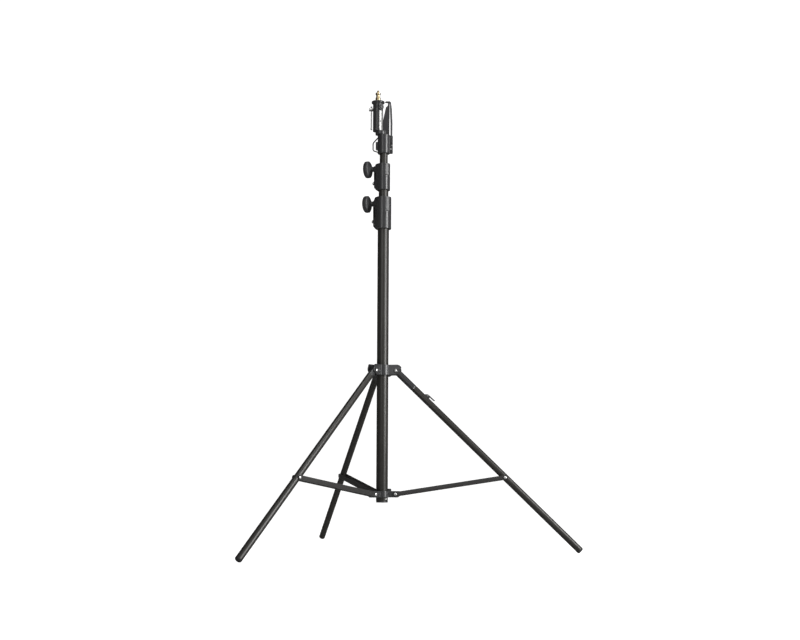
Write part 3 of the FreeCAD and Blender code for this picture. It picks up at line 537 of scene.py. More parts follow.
def powder_coat(name, colour, worn, roughness, texture):
    """Powder coat on a die casting: fine orange peel, uneven gloss, edges rubbed a little paler."""
    finish = empty_finish(name)
    tree = finish.node_tree
    link = tree.links.new

    where = tree.nodes.new("ShaderNodeTexCoord")
    where.label = "place on the casting"
    peel = tree.nodes.new("ShaderNodeTexNoise")
    peel.label = "orange peel of the coat"
    relief = tree.nodes.new("ShaderNodeBump")
    relief.label = "peel standing proud"
    patches = tree.nodes.new("ShaderNodeTexNoise")
    patches.label = "patches handled smooth"
    gloss = tree.nodes.new("ShaderNodeMapRange")
    gloss.label = "gloss of the coat"
    shape = tree.nodes.new("ShaderNodeNewGeometry")
    shape.label = "edges of the casting"
    edge = tree.nodes.new("ShaderNodeMapRange")
    edge.label = "rub on the edges"
    broken = tree.nodes.new("ShaderNodeMath")
    broken.label = "rub broken up by handling"
    tint = tree.nodes.new("ShaderNodeMix")
    tint.label = "black coat to worn coat"
    coat = tree.nodes.new("ShaderNodeBsdfPrincipled")
    coat.label = "powder-coated surface"
    out = tree.nodes.new("ShaderNodeOutputMaterial")
    out.label = "casting finish"
    lay_out([where, shape], [peel, patches, edge], [relief, gloss, broken], [tint], [coat], [out])

    for effect, members in (("orange peel", (peel, relief)),
                            ("uneven gloss", (patches, gloss)),
                            ("edge wear", (shape, edge, broken, tint))):
        group = tree.nodes.new("NodeFrame")
        group.label = effect
        for node in members:
            node.parent = group

    peel.inputs["Scale"].default_value = texture
    peel.inputs["Detail"].default_value = 3.0
    relief.inputs["Strength"].default_value = 0.25
    relief.inputs["Distance"].default_value = 0.12 * MM
    patches.inputs["Scale"].default_value = 38.0
    patches.inputs["Detail"].default_value = 4.0
    gloss.inputs["To Min"].default_value = roughness - 0.08
    gloss.inputs["To Max"].default_value = roughness + 0.12
    edge.inputs["From Min"].default_value = 0.53
    edge.inputs["From Max"].default_value = 0.62
    edge.inputs["To Max"].default_value = 0.8
    broken.operation = "MULTIPLY"
    tint.data_type = "RGBA"
    tint.inputs["A"].default_value = (*colour, 1)
    tint.inputs["B"].default_value = (*worn, 1)
    coat.inputs["Specular IOR Level"].default_value = 0.5

    link(where.outputs["Object"], peel.inputs["Vector"])
    link(where.outputs["Object"], patches.inputs["Vector"])
    link(peel.outputs["Fac"], relief.inputs["Height"])
    link(patches.outputs["Fac"], gloss.inputs["Value"])
    link(shape.outputs["Pointiness"], edge.inputs["Value"])
    link(edge.outputs["Result"], broken.inputs[0])
    link(patches.outputs["Fac"], broken.inputs[1])
    link(broken.outputs["Value"], tint.inputs["Factor"])
    link(tint.outputs["Result"], coat.inputs["Base Color"])
    link(gloss.outputs["Result"], coat.inputs["Roughness"])
    link(relief.outputs["Normal"], coat.inputs["Normal"])
    link(coat.outputs["BSDF"], out.inputs["Surface"])
    return finish


def drawn_tube(name, colour, bared, metallic, roughness):
    """Drawn and anodised tube: a fine grain along it, cloudy patches in the dye and a few long scuffs."""
    finish = empty_finish(name)
    tree = finish.node_tree
    link = tree.links.new

    where = tree.nodes.new("ShaderNodeUVMap")
    where.label = "round and along the tube"
    grain_run = tree.nodes.new("ShaderNodeMapping")
    grain_run.label = "grain drawn out lengthways"
    grain = tree.nodes.new("ShaderNodeTexNoise")
    grain.label = "drawing grain"
    relief = tree.nodes.new("ShaderNodeBump")
    relief.label = "grain you can feel"
    gloss = tree.nodes.new("ShaderNodeMapRange")
    gloss.label = "satin of the grain"
    scuff_run = tree.nodes.new("ShaderNodeMapping")
    scuff_run.label = "scuffs lie along the tube"
    scuffs = tree.nodes.new("ShaderNodeTexNoise")
    scuffs.label = "long scuffs"
    scuffed = tree.nodes.new("ShaderNodeMapRange")
    scuffed.label = "only the deepest scuffs show"
    cloud = tree.nodes.new("ShaderNodeTexNoise")
    cloud.label = "cloudy dye"
    dye = tree.nodes.new("ShaderNodeMix")
    dye.label = "darker and paler dye"
    bare = tree.nodes.new("ShaderNodeMix")
    bare.label = "scuffs show paler metal"
    skin = tree.nodes.new("ShaderNodeBsdfPrincipled")
    skin.label = "anodised skin"
    out = tree.nodes.new("ShaderNodeOutputMaterial")
    out.label = "tube finish"
    lay_out([where], [grain_run, scuff_run, cloud], [grain, scuffs, dye], [relief, gloss, scuffed],
            [bare], [skin], [out])

    for effect, members in (("drawn grain", (grain_run, grain, relief, gloss)),
                            ("scuffs", (scuff_run, scuffs, scuffed, bare)),
                            ("uneven dye", (cloud, dye))):
        group = tree.nodes.new("NodeFrame")
        group.label = effect
        for node in members:
            node.parent = group

    grain_run.inputs["Scale"].default_value = (2400, 14, 1)
    grain.inputs["Scale"].default_value = 1.0
    grain.inputs["Detail"].default_value = 2.0
    relief.inputs["Strength"].default_value = 0.12
    relief.inputs["Distance"].default_value = 0.04 * MM
    gloss.inputs["To Min"].default_value = roughness - 0.06
    gloss.inputs["To Max"].default_value = roughness + 0.1
    scuff_run.inputs["Scale"].default_value = (420, 16, 1)
    scuffs.inputs["Scale"].default_value = 1.0
    scuffs.inputs["Detail"].default_value = 5.0
    scuffed.inputs["From Min"].default_value = 0.66
    scuffed.inputs["From Max"].default_value = 0.76
    scuffed.inputs["To Max"].default_value = 0.5
    cloud.inputs["Scale"].default_value = 26.0
    dye.data_type = "RGBA"
    dye.inputs["A"].default_value = (*[c * 0.82 for c in colour], 1)
    dye.inputs["B"].default_value = (*[c * 1.2 for c in colour], 1)
    bare.data_type = "RGBA"
    bare.inputs["B"].default_value = (*bared, 1)
    skin.inputs["Metallic"].default_value = metallic
    skin.inputs["Specular IOR Level"].default_value = 0.5

    link(where.outputs["UV"], grain_run.inputs["Vector"])
    link(where.outputs["UV"], scuff_run.inputs["Vector"])
    link(where.outputs["UV"], cloud.inputs["Vector"])
    link(grain_run.outputs["Vector"], grain.inputs["Vector"])
    link(grain.outputs["Fac"], relief.inputs["Height"])
    link(grain.outputs["Fac"], gloss.inputs["Value"])
    link(scuff_run.outputs["Vector"], scuffs.inputs["Vector"])
    link(scuffs.outputs["Fac"], scuffed.inputs["Value"])
    link(cloud.outputs["Fac"], dye.inputs["Factor"])
    link(dye.outputs["Result"], bare.inputs["A"])
    link(scuffed.outputs["Result"], bare.inputs["Factor"])
    link(bare.outputs["Result"], skin.inputs["Base Color"])
    link(gloss.outputs["Result"], skin.inputs["Roughness"])
    link(relief.outputs["Normal"], skin.inputs["Normal"])
    link(skin.outputs["BSDF"], out.inputs["Surface"])
    return finish


def moulded(name, colour, roughness, grain_size, grain_depth):
    """Moulded plastic or rubber: a fine spark grain, faint flow marks and a bloom of dust."""
    finish = empty_finish(name)
    tree = finish.node_tree
    link = tree.links.new

    where = tree.nodes.new("ShaderNodeTexCoord")
    where.label = "place on the moulding"
    pits = tree.nodes.new("ShaderNodeTexVoronoi")
    pits.label = "spark grain of the mould"
    relief = tree.nodes.new("ShaderNodeBump")
    relief.label = "grain pressed in"
    flow = tree.nodes.new("ShaderNodeTexNoise")
    flow.label = "flow marks"
    gloss = tree.nodes.new("ShaderNodeMapRange")
    gloss.label = "dull and shiny flow"
    shape = tree.nodes.new("ShaderNodeNewGeometry")
    shape.label = "which way the surface faces"
    facing = tree.nodes.new("ShaderNodeSeparateXYZ")
    facing.label = "how much it faces up"
    dusty = tree.nodes.new("ShaderNodeMapRange")
    dusty.label = "dust settles on top"
    tint = tree.nodes.new("ShaderNodeMix")
    tint.label = "clean to dusty"
    skin = tree.nodes.new("ShaderNodeBsdfPrincipled")
    skin.label = "moulded skin"
    out = tree.nodes.new("ShaderNodeOutputMaterial")
    out.label = "moulding finish"
    lay_out([where, shape], [pits, flow, facing], [relief, gloss, dusty], [tint], [skin], [out])

    for effect, members in (("mould grain", (pits, relief)),
                            ("flow marks", (flow, gloss)),
                            ("dust", (shape, facing, dusty, tint))):
        group = tree.nodes.new("NodeFrame")
        group.label = effect
        for node in members:
            node.parent = group

    pits.inputs["Scale"].default_value = grain_size
    relief.inputs["Strength"].default_value = grain_depth
    relief.inputs["Distance"].default_value = 0.08 * MM
    flow.inputs["Scale"].default_value = 70.0
    flow.inputs["Detail"].default_value = 3.0
    gloss.inputs["To Min"].default_value = roughness - 0.08
    gloss.inputs["To Max"].default_value = roughness + 0.1
    dusty.inputs["From Min"].default_value = 0.4
    dusty.inputs["To Max"].default_value = 0.25
    tint.data_type = "RGBA"
    tint.inputs["A"].default_value = (*colour, 1)
    tint.inputs["B"].default_value = (*[c + 0.06 for c in colour], 1)

    link(where.outputs["Object"], pits.inputs["Vector"])
    link(where.outputs["Object"], flow.inputs["Vector"])
    link(pits.outputs["Distance"], relief.inputs["Height"])
    link(flow.outputs["Fac"], gloss.inputs["Value"])
    link(shape.outputs["Normal"], facing.inputs["Vector"])
    link(facing.outputs["Z"], dusty.inputs["Value"])
    link(dusty.outputs["Result"], tint.inputs["Factor"])
    link(tint.outputs["Result"], skin.inputs["Base Color"])
    link(gloss.outputs["Result"], skin.inputs["Roughness"])
    link(relief.outputs["Normal"], skin.inputs["Normal"])
    link(skin.outputs["BSDF"], out.inputs["Surface"])
    return finish


def bare_metal(name, colour, tarnish, roughness, stretch):
    """Bare or plated metal: fine tool marks and a patchy bloom of tarnish."""
    finish = empty_finish(name)
    tree = finish.node_tree
    link = tree.links.new

    where = tree.nodes.new("ShaderNodeTexCoord")
    where.label = "place on the metal"
    mark_run = tree.nodes.new("ShaderNodeMapping")
    mark_run.label = "way the tool marks run"
    marks = tree.nodes.new("ShaderNodeTexNoise")
    marks.label = "tool marks"
    relief = tree.nodes.new("ShaderNodeBump")
    relief.label = "marks cut in"
    gloss = tree.nodes.new("ShaderNodeMapRange")
    gloss.label = "gloss between the marks"
    bloom = tree.nodes.new("ShaderNodeTexNoise")
    bloom.label = "bloom of tarnish"
    patches = tree.nodes.new("ShaderNodeMapRange")
    patches.label = "where tarnish has taken"
    tint = tree.nodes.new("ShaderNodeMix")
    tint.label = "bright to tarnished"
    metal = tree.nodes.new("ShaderNodeBsdfPrincipled")
    metal.label = "metal surface"
    out = tree.nodes.new("ShaderNodeOutputMaterial")
    out.label = "metal finish"
    lay_out([where], [mark_run, bloom], [marks, patches], [relief, gloss, tint], [metal], [out])

    for effect, members in (("tool marks", (mark_run, marks, relief, gloss)),
                            ("tarnish", (bloom, patches, tint))):
        group = tree.nodes.new("NodeFrame")
        group.label = effect
        for node in members:
            node.parent = group

    mark_run.inputs["Scale"].default_value = stretch
    marks.inputs["Scale"].default_value = 1.0
    marks.inputs["Detail"].default_value = 2.0
    relief.inputs["Strength"].default_value = 0.15
    relief.inputs["Distance"].default_value = 0.05 * MM
    gloss.inputs["To Min"].default_value = roughness - 0.07
    gloss.inputs["To Max"].default_value = roughness + 0.1
    bloom.inputs["Scale"].default_value = 160.0
    bloom.inputs["Detail"].default_value = 4.0
    patches.inputs["From Min"].default_value = 0.45
    patches.inputs["From Max"].default_value = 0.8
    patches.inputs["To Max"].default_value = 0.7
    tint.data_type = "RGBA"
    tint.inputs["A"].default_value = (*colour, 1)
    tint.inputs["B"].default_value = (*tarnish, 1)
    metal.inputs["Metallic"].default_value = 1.0

    link(where.outputs["Object"], mark_run.inputs["Vector"])
    link(where.outputs["Object"], bloom.inputs["Vector"])
    link(mark_run.outputs["Vector"], marks.inputs["Vector"])
    link(marks.outputs["Fac"], relief.inputs["Height"])
    link(marks.outputs["Fac"], gloss.inputs["Value"])
    link(bloom.outputs["Fac"], patches.inputs["Value"])
    link(patches.outputs["Result"], tint.inputs["Factor"])
    link(tint.outputs["Result"], metal.inputs["Base Color"])
    link(gloss.outputs["Result"], metal.inputs["Roughness"])
    link(relief.outputs["Normal"], metal.inputs["Normal"])
    link(metal.outputs["BSDF"], out.inputs["Surface"])
    return finish


TUBE = drawn_tube("black drawn tube", (0.024, 0.0225, 0.020), (0.10, 0.095, 0.085), 0.2, 0.36)
STRAP = powder_coat("black strap paint", (0.026, 0.025, 0.024), (0.13, 0.125, 0.12), 0.38, 500.0)
CASTING = powder_coat("black powder coat", (0.026, 0.026, 0.027), (0.12, 0.12, 0.12), 0.30, 900.0)
NYLON = moulded("black nylon", (0.022, 0.022, 0.023), 0.42, 1400.0, 0.2)
RUBBER = moulded("black rubber", (0.014, 0.014, 0.014), 0.7, 1800.0, 0.35)
STEEL = bare_metal("zinc-plated steel", (0.90, 0.90, 0.89), (0.62, 0.61, 0.58), 0.42, (900, 900, 900))
GREY_LEVER = bare_metal("satin grey lever", (0.20, 0.20, 0.21), (0.12, 0.12, 0.12), 0.38, (1200, 1200, 30))
ALUMINIUM = bare_metal("drawn aluminium", (0.80, 0.80, 0.80), (0.6, 0.6, 0.6), 0.28, (1100, 1100, 40))
PLATE = bare_metal("silver scale plate", (0.40, 0.40, 0.39), (0.26, 0.26, 0.26), 0.5, (30, 30, 1600))
BRASS = bare_metal("turned brass", (0.66, 0.54, 0.33), (0.40, 0.28, 0.14), 0.34, (60, 60, 3200))
DARK_STEEL = bare_metal("blackened steel", (0.06, 0.06, 0.062), (0.03, 0.03, 0.03), 0.4, (60, 60, 2000))
INK = moulded("black ink", (0.01, 0.01, 0.01), 0.5, 900.0, 0.05)

SLOT_FINISH = {
    "black_tube": TUBE, "black_casting": CASTING, "black_plastic": NYLON, "foot_rubber": RUBBER,
    "bright_steel": STEEL, "grey_lever": GREY_LEVER, "bare_aluminium": ALUMINIUM,
    "scale_plate": PLATE, "brass": BRASS, "black_steel": DARK_STEEL,
}
for part in record["subparts"]:
    carried = nodes[part["node"]]
    carried.data.materials.clear()
    carried.data.materials.append(SLOT_FINISH[part["material_slot"]])


# ---------------------------------------------------------------- tubes and feet

def tube_piece(node, body, place, wall, slot="black_tube"):
    """A tube with lightly broken ends in place of its CAD node."""
    low, high = extent(node, place)
    outer = (high.y - low.y) / 2
    edge = 0.3 * MM
    outline = [(outer - wall, low.z, edge), (outer, low.z, edge), (outer, high.z, edge),
               (outer - wall, high.z, edge)]
    piece = turned("tube_" + node, outline, place, ring=True, segments=96)
    return fit(piece, body, slot, SLOT_FINISH[slot], node)


LEG_END_BODY = {"right": "levelling_leg", "rear": "leg_rear", "left": "leg_left"}
COLUMN_WALL = 1.75 * MM
THIN_WALL = 1.5 * MM
tube_piece("column_tube", "column", COLUMN, COLUMN_WALL)
tube_piece("riser_1_tube", "riser_1", COLUMN, THIN_WALL)
tube_piece("riser_2_tube", "riser_2", COLUMN, THIN_WALL)
for side, body in LEG_END_BODY.items():
    tube_piece(f"leg_{side}_tube", body, leg_place[side], THIN_WALL)
tube_piece("levelling_inner_tube", "leg_right", leg_place["right"], THIN_WALL, "bare_aluminium")


def foot_piece(side, body):
    """A rubber end plug: a flange flush with the tube, a bevelled tread and two tread grooves."""
    place = leg_place[side]
    low, high = extent(f"leg_{side}_foot", place)
    radius = (high.y - low.y) / 2
    end = low.z
    flange = end + 5 * MM
    outline = [(0, end + 0.6 * MM), (radius * 0.2, end + 0.6 * MM, 0.2 * MM), (radius * 0.24, end, 0.3 * MM),
               (radius * 0.42, end, 0.3 * MM), (radius * 0.45, end + 0.9 * MM, 0.2 * MM),
               (radius * 0.55, end + 0.9 * MM, 0.2 * MM), (radius * 0.58, end, 0.3 * MM),
               (radius - 3 * MM, end, 0.8 * MM), (radius, end + 3 * MM, 0.8 * MM),
               (radius, flange - 0.9 * MM, 0.2 * MM), (radius - 0.35 * MM, flange - 0.6 * MM, 0.1 * MM),
               (radius, flange - 0.3 * MM, 0.1 * MM), (radius, flange, 0.1 * MM),
               (radius - 1.6 * MM, flange), (radius - 1.6 * MM, high.z, 0.5 * MM), (0, high.z)]
    piece = turned(f"foot_{side}", outline, place, segments=64)
    return fit(piece, body, "foot_rubber", RUBBER, f"leg_{side}_foot")


for side, body in LEG_END_BODY.items():
    foot_piece(side, body)


# ---------------------------------------------------------------- braces

def strap(name, place, half_length, half_width, inner, outer):
    """A flat strap with round ends and broken edges, lying between two distances along local Y."""
    shape = bmesh.new()
    rim = []
    low, high = half_length
    arc_steps = 16
    for end, sign in ((high, 1), (low, -1)):
        for k in range(arc_steps + 1):
            turn = math.pi * k / arc_steps
            across = half_width * math.cos(turn) * sign
            rim.append(shape.verts.new((across, inner, end + half_width * math.sin(turn) * sign)))
    face = shape.faces.new(rim)
    lifted = bmesh.ops.extrude_face_region(shape, geom=[face])
    raised = [v for v in lifted["geom"] if isinstance(v, bmesh.types.BMVert)]
    bmesh.ops.translate(shape, verts=raised, vec=(0, outer - inner, 0))
    bmesh.ops.recalc_face_normals(shape, faces=shape.faces)
    border = [e for e in shape.edges if e.calc_face_angle(0) > 1.2]
    bmesh.ops.bevel(shape, geom=border, offset=0.5 * MM, segments=3, profile=0.6, affect="EDGES")
    mesh = bpy.data.meshes.new(name)
    shape.to_mesh(mesh)
    shape.free()
    mesh.transform(place)
    return smooth(mesh_object(name, mesh), 30)


PIN_RADIUS = 3 * MM
RIVET_RADIUS = 4.6 * MM
RIVET_RISE = 1.6 * MM
WASHER_RISE = 0.4 * MM
STRAP_WALL = 2.5 * MM
rivet_maker = rivet_tree(STEEL)
washer_maker = rivet_tree(RUBBER)


def riveted(name, spots, body, grip, washer_radius, node):
    """Rivets in place of their CAD node, each with a black washer under its heads."""
    heads = rivets(name, rivet_maker, spots, grip=grip, shank_radius=PIN_RADIUS,
                   head_radius=RIVET_RADIUS, head_rise=RIVET_RISE)
    fit(heads, body, "bright_steel", STEEL, node)
    washers = rivets(name.replace("rivets", "washers"), washer_maker, spots, grip=grip,
                     shank_radius=PIN_RADIUS, head_radius=washer_radius, head_rise=WASHER_RISE)
    fit(washers, body, "black_plastic", RUBBER)


for side in SIDES:
    place = brace_place[side]
    low, high = extent(f"brace_{side}_straps", place)
    half_width = (high.x - low.x) / 2
    both = [strap(f"strap_{side}_{k}", place, (low.z + half_width, high.z - half_width), half_width,
                  edge, edge + turn * STRAP_WALL)
            for k, (edge, turn) in enumerate(((low.y, 1), (high.y, -1)))]
    fit(joined(f"straps_{side}", both), f"brace_{side}", "black_tube", STRAP, f"brace_{side}_straps")
    low, high = extent(f"brace_{side}_rivets", place)
    end = (low.z + high.z) / 2
    gap = place.to_3x3() @ Vector((0, 1, 0))
    ends = []
    for turn in (-1, 1):
        centre = place @ Vector((0, turn * (high.y - RIVET_RISE - STRAP_WALL / 2), end))
        ends.append((centre, gap * turn))
    riveted(f"brace_rivets_{side}", ends, f"brace_{side}", STRAP_WALL, 6.2 * MM, f"brace_{side}_rivets")


# ---------------------------------------------------------------- collars

def black_casting(name, node, body, grain, passes):
    fit(cast(name, node, grain, passes), body, "black_casting", CASTING, node)


black_casting("brace_collar_cast", "brace_collar", "column", 0.7 * MM, 5)
black_casting("leg_collar_cast", "leg_collar_casting", "leg_collar", 0.7 * MM, 5)
black_casting("wing_screw_cast", "wing_screw", "wing_screw", 0.4 * MM, 6)
for body, node, group, half_grip in (("column", "brace_collar_pins", "brace", 13.0 * MM),
                                     ("leg_collar", "leg_hinge_pins", "leg", 13.2 * MM)):
    spots = [(Vector(joints[f"{group}_{side}_hinge"]["pos_m"]),
              Vector(joints[f"{group}_{side}_hinge"]["axis"])) for side in SIDES]
    riveted(f"{group}_rivets", spots, body, 2 * half_grip, 6.4 * MM, node)


# ---------------------------------------------------------------- leg fittings and levelling lock

for side in SIDES:
    black_casting(f"fitting_{side}", f"leg_{side}_fitting", f"leg_{side}", 0.5 * MM, 3)
black_casting("lever_mount", "levelling_lever_mount", "levelling_leg", 0.25 * MM, 3)
fit(cast("flip_lever", "levelling_lever", 0.2 * MM, 3), "levelling_lever", "black_plastic", NYLON,
    "levelling_lever")


# ---------------------------------------------------------------- riser locks and knobs

def lock_pieces(which, body, knob_body):
    """A riser lock: eased casting, hexagon adjuster, and a knob with a fluted rim."""
    black_casting(f"{which}_lock_cast", f"{which}_lock_casting", body, 0.7 * MM, 5)
    turn = joints[f"{which}_knob_turn"]
    bolt = axes(middle(f"{which}_lock_adjuster"), turn["axis"], UP)
    low, high = extent(f"{which}_lock_adjuster", bolt)
    radius = 5 * MM
    stem = 3 * MM
    under = high.z - 5.4 * MM
    outline = [(0, low.z), (stem, low.z), (stem, under), (radius, under),
               (radius, high.z - 0.9 * MM, 0.2 * MM), (radius - 0.8 * MM, high.z, 0.2 * MM),
               (2.2 * MM, high.z), (1.8 * MM, high.z - 1.5 * MM), (0, high.z - 1.5 * MM)]
    fit(turned(f"{which}_adjuster", outline, bolt, segments=6), body, "bright_steel", STEEL,
        f"{which}_lock_adjuster")

    axis = axes(turn["pos_m"], turn["axis"], UP)
    low, high = extent(f"{which}_knob_head", axis)
    hub = low.z
    rim = (high.y - low.y) / 2
    flute_depth = 0.9 * MM
    outline = [(0, hub), (7.5 * MM, hub, 0.4 * MM), (8 * MM, hub + 6 * MM, 1 * MM),
               (12 * MM, hub + 9 * MM, 2 * MM), (rim - 4 * MM, hub + 12.5 * MM, 1.5 * MM),
               (rim, hub + 15 * MM, 1.8 * MM), (rim, hub + 25 * MM, 2 * MM),
               (rim - 2 * MM, hub + 27.5 * MM, 1.2 * MM), (rim - 5 * MM, hub + 28.9 * MM, 0.5 * MM),
               (rim - 6 * MM, hub + 28.3 * MM, 0.4 * MM), (rim - 9 * MM, hub + 29.8 * MM, 1 * MM),
               (9 * MM, hub + 31.6 * MM, 0.5 * MM), (8 * MM, hub + 31.0 * MM, 0.4 * MM),
               (6.5 * MM, hub + 32.1 * MM, 0.8 * MM), (0, hub + 32.3 * MM)]
    knob = turned(f"{which}_knob", outline, axis, segments=216, flutes=36,
                  flute_depth=flute_depth, fluted=(rim - 3.2 * MM, rim))
    fit(knob, knob_body, "black_plastic", NYLON, f"{which}_knob_head")


lock_pieces("lower", "column", "lower_knob")
lock_pieces("upper", "riser_1", "upper_knob")


# ---------------------------------------------------------------- head

black_casting("head_block_cast", "head_block", "riser_2", 0.5 * MM, 5)
black_casting("head_bracket_cast", "head_bracket", "riser_2", 0.6 * MM, 5)
black_casting("socket_cast", "head_socket", "riser_2", 0.5 * MM, 4)
fit(cast("catch_lever_cast", "catch_lever", 0.4 * MM, 5), "catch_lever", "grey_lever", GREY_LEVER,
    "catch_lever")
black_casting("cable_loop_wire", "cable_loop", "riser_2", 0.35 * MM, 3)

low, high = extent("release_button", BUTTON)
button_r = (high.y - low.y) / 2
outline = [(0, low.z), (button_r, low.z), (button_r, high.z - 1.8 * MM, 0.6 * MM),
           (button_r - 1.2 * MM, high.z - 0.6 * MM, 0.5 * MM),
           (button_r - 2.4 * MM, high.z - 0.9 * MM, 0.5 * MM),
           (2 * MM, high.z - 0.2 * MM, 1 * MM), (0, high.z)]
fit(turned("button", outline, BUTTON, segments=64), "release_button", "black_plastic", NYLON,
    "release_button")

low, high = extent("tommy_screw", TOMMY)
tip_radius = 3.5 * MM
body_radius = 5 * MM
shoulder = low.z + 2.9 * MM
outline = [(0, low.z), (tip_radius, low.z, 0.4 * MM), (tip_radius, shoulder),
           (body_radius, shoulder, 0.4 * MM), (body_radius, high.z - 1 * MM, 0.3 * MM),
           (4 * MM, high.z, 0.3 * MM), (0, high.z)]
fit(turned("clamp_screw", outline, TOMMY, segments=96), "tommy_screw", "bright_steel", STEEL,
    "tommy_screw")

bar_place = axes((middle("tommy_bar").x, middle("tommy_bar").y, 0), UP, (1, 0, 0))
low, high = extent("tommy_bar", bar_place)
ball = 2.9 * MM
bar = 2.0 * MM
outline = [(0, low.z), (ball * 0.7, low.z + 0.3 * MM, 0.8 * MM), (ball, low.z + 2.4 * MM, 1.2 * MM),
           (ball * 0.85, low.z + 5 * MM, 1 * MM), (bar, low.z + 6.2 * MM, 0.6 * MM),
           (bar, high.z - 5.6 * MM, 0.6 * MM), (ball * 0.85, high.z - 4.6 * MM, 1 * MM),
           (ball, high.z - 2.4 * MM, 1.2 * MM), (ball * 0.7, high.z - 0.3 * MM, 0.8 * MM), (0, high.z)]
fit(turned("sliding_bar", outline, bar_place, segments=40), "tommy_bar", "bright_steel", STEEL,
    "tommy_bar")

low, high = extent("spigot_stud", SOCKET)
stud_r = (high.y - low.y) / 2
thread = mounts["stud_thread"]["dims"]
tip_base = high.z - thread["length_mm"] * MM - 0.8 * MM
tip_r = thread["r_mm"] * MM
outline = [(0, low.z), (stud_r, low.z), (stud_r, low.z + 9 * MM, 0.5 * MM),
           (stud_r - 1.8 * MM, low.z + 10.5 * MM, 0.6 * MM),
           (stud_r - 1.8 * MM, tip_base - 7 * MM, 0.6 * MM), (stud_r, tip_base - 5.5 * MM, 0.4 * MM),
           (stud_r, tip_base - 0.6 * MM, 0.3 * MM), (stud_r - 0.6 * MM, tip_base, 0.2 * MM),
           (tip_r - 0.5 * MM, tip_base), (tip_r - 0.6 * MM, tip_base + 0.5 * MM), (0, tip_base + 0.5 * MM)]
stud = turned("stud_turning", outline, SOCKET, segments=96)
screw = threaded("stud_thread", thread_tree(BRASS), SOCKET @ Matrix.Translation((0, 0, tip_base)), tip_r,
                 high.z - tip_base, 1.27 * MM, 1.2 * MM)
fit(joined("stud", [stud, screw]), "spigot", "brass", BRASS, "spigot_stud")

low, high = extent("spigot_shank", SOCKET)
shank_r = 12.4 * MM
rim_base = high.z - 2.7 * MM
outline = [(0, low.z), (9 * MM, low.z, 0.5 * MM), (shank_r, low.z + 3 * MM, 0.5 * MM),
           (shank_r, rim_base), (13.5 * MM, rim_base, 0.3 * MM),
           (13.3 * MM, high.z - 2.0 * MM, 0.4 * MM), (11 * MM, high.z, 0.4 * MM), (0, high.z)]
fit(turned("shank", outline, SOCKET, segments=96), "spigot", "black_steel", DARK_STEEL,
    "spigot_shank")

low, high = extent("scale_plate", SOCKET)
strip = middle("scale_plate")
scale_facing = Vector((strip.x - stud_spot.x, strip.y - stud_spot.y, 0)).normalized()
scale_place = axes((stud_spot.x, stud_spot.y, low.z + 6 * MM), UP, scale_facing)
strokes = worked("scale_strokes", bpy.data.meshes.new("scale_strokes"), scale_tree(INK),
                 barrel_radius=16.1 * MM, step=2.5 * MM, stroke=7 * MM, thickness=0.35 * MM, strokes=21)
strokes.data.transform(scale_place)
fit(strokes, "riser_2", "black_plastic", INK)
barrel = 16 * MM
screw_spots = []
for turn, height in ((18.0, 28 * MM), (36.0, 11 * MM)):
    out = Matrix.Rotation(math.radians(45 - turn), 3, "Z") @ Vector((0, -1, 0))
    screw_spots.append((SOCKET @ Vector((out.x * barrel, out.y * barrel, low.z + height)),
                        SOCKET.to_3x3() @ out))
plate_screws = rivets("scale_screws", rivet_tree(INK), screw_spots, grip=0.3 * MM,
                      shank_radius=1 * MM, head_radius=2.0 * MM, head_rise=0.7 * MM)
fit(plate_screws, "riser_2", "black_plastic", INK)


# ---------------------------------------------------------------- floor, light and camera

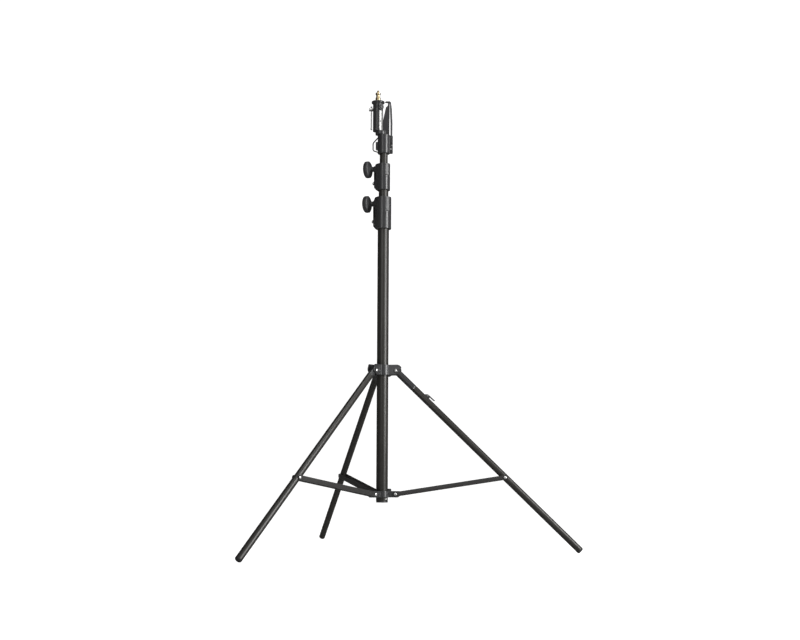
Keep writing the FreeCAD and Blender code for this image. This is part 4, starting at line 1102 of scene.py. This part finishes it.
def pale_sweep():
    """A pale floor that curves up into a backdrop, well clear of the stand."""
    shape = bmesh.new()
    half = 9.0
    floor_end = 4.0
    bend = 2.0
    wall_top = 7.0
    bend_steps = 12
    run = [(-half, 0.0), (floor_end, 0.0)]
    for k in range(1, bend_steps + 1):
        turn = math.pi / 2 * k / bend_steps
        run.append((floor_end + bend * math.sin(turn), bend - bend * math.cos(turn)))
    run.append((floor_end + bend, wall_top))
    for x in (-half, half):
        for y, z in run:
            shape.verts.new((x, y, z))
    shape.verts.ensure_lookup_table()
    count = len(run)
    for k in range(count - 1):
        shape.faces.new([shape.verts[k], shape.verts[count + k], shape.verts[count + k + 1],
                         shape.verts[k + 1]])
    mesh = bpy.data.meshes.new("pale_sweep")
    shape.to_mesh(mesh)
    shape.free()
    sweep = mesh_object("pale_sweep", mesh)
    sweep.data.shade_smooth()
    paint = bpy.data.materials.new("pale floor paint")
    paint.use_nodes = True
    coat = paint.node_tree.nodes["Principled BSDF"]
    coat.inputs["Base Color"].default_value = (0.5, 0.5, 0.5, 1)
    coat.inputs["Roughness"].default_value = 0.9
    coat.inputs["Emission Color"].default_value = (1, 1, 1, 1)
    coat.inputs["Emission Strength"].default_value = 0.85
    sweep.data.materials.append(paint)
    sweep.visible_glossy = False


def soft_light(name, spot, aim, width, height, power):
    lamp = bpy.data.lights.new(name, "AREA")
    lamp.shape = "RECTANGLE"
    lamp.size = width
    lamp.size_y = height
    lamp.energy = power
    holder = bpy.data.objects.new(name, lamp)
    bpy.context.scene.collection.objects.link(holder)
    holder.location = spot
    holder.rotation_euler = (Vector(aim) - Vector(spot)).to_track_quat("-Z", "Y").to_euler()


pale_sweep()
soft_light("right strip softbox", (2.75, -1.25, 1.3), (0, 0, 0.75), 0.55, 2.6, 120)
soft_light("front strip softbox", (-0.87, -3.9, 1.9), (0, 0, 0.75), 0.35, 2.6, 28)
soft_light("top softbox", (0.6, -0.8, 3.4), (0, 0, 0.6), 1.0, 1.0, 22)

world = bpy.data.worlds.new("studio air")
bpy.context.scene.world = world
world.use_nodes = True
world.node_tree.nodes["Background"].inputs["Color"].default_value = (1, 1, 1, 1)
world.node_tree.nodes["Background"].inputs["Strength"].default_value = 0.05
bpy.context.scene.view_settings.view_transform = "Standard"

CAMERA_SPOT = (0.5735, -3.4533, 0.2465)
HEADING = math.radians(8.58)
PITCH = 0.125
ROLL = 0.0035
camera = bpy.data.cameras.new("camera")
camera.sensor_width = 36.0
camera.lens = 52.43
viewer = bpy.data.objects.new("camera", camera)
bpy.context.scene.collection.objects.link(viewer)
viewer.matrix_world = (Matrix.Translation(CAMERA_SPOT)
                       @ Matrix.Rotation(HEADING, 4, "Z")
                       @ Matrix.Rotation(math.pi / 2 + PITCH, 4, "X")
                       @ Matrix.Rotation(ROLL, 4, "Z"))
bpy.context.scene.camera = viewer
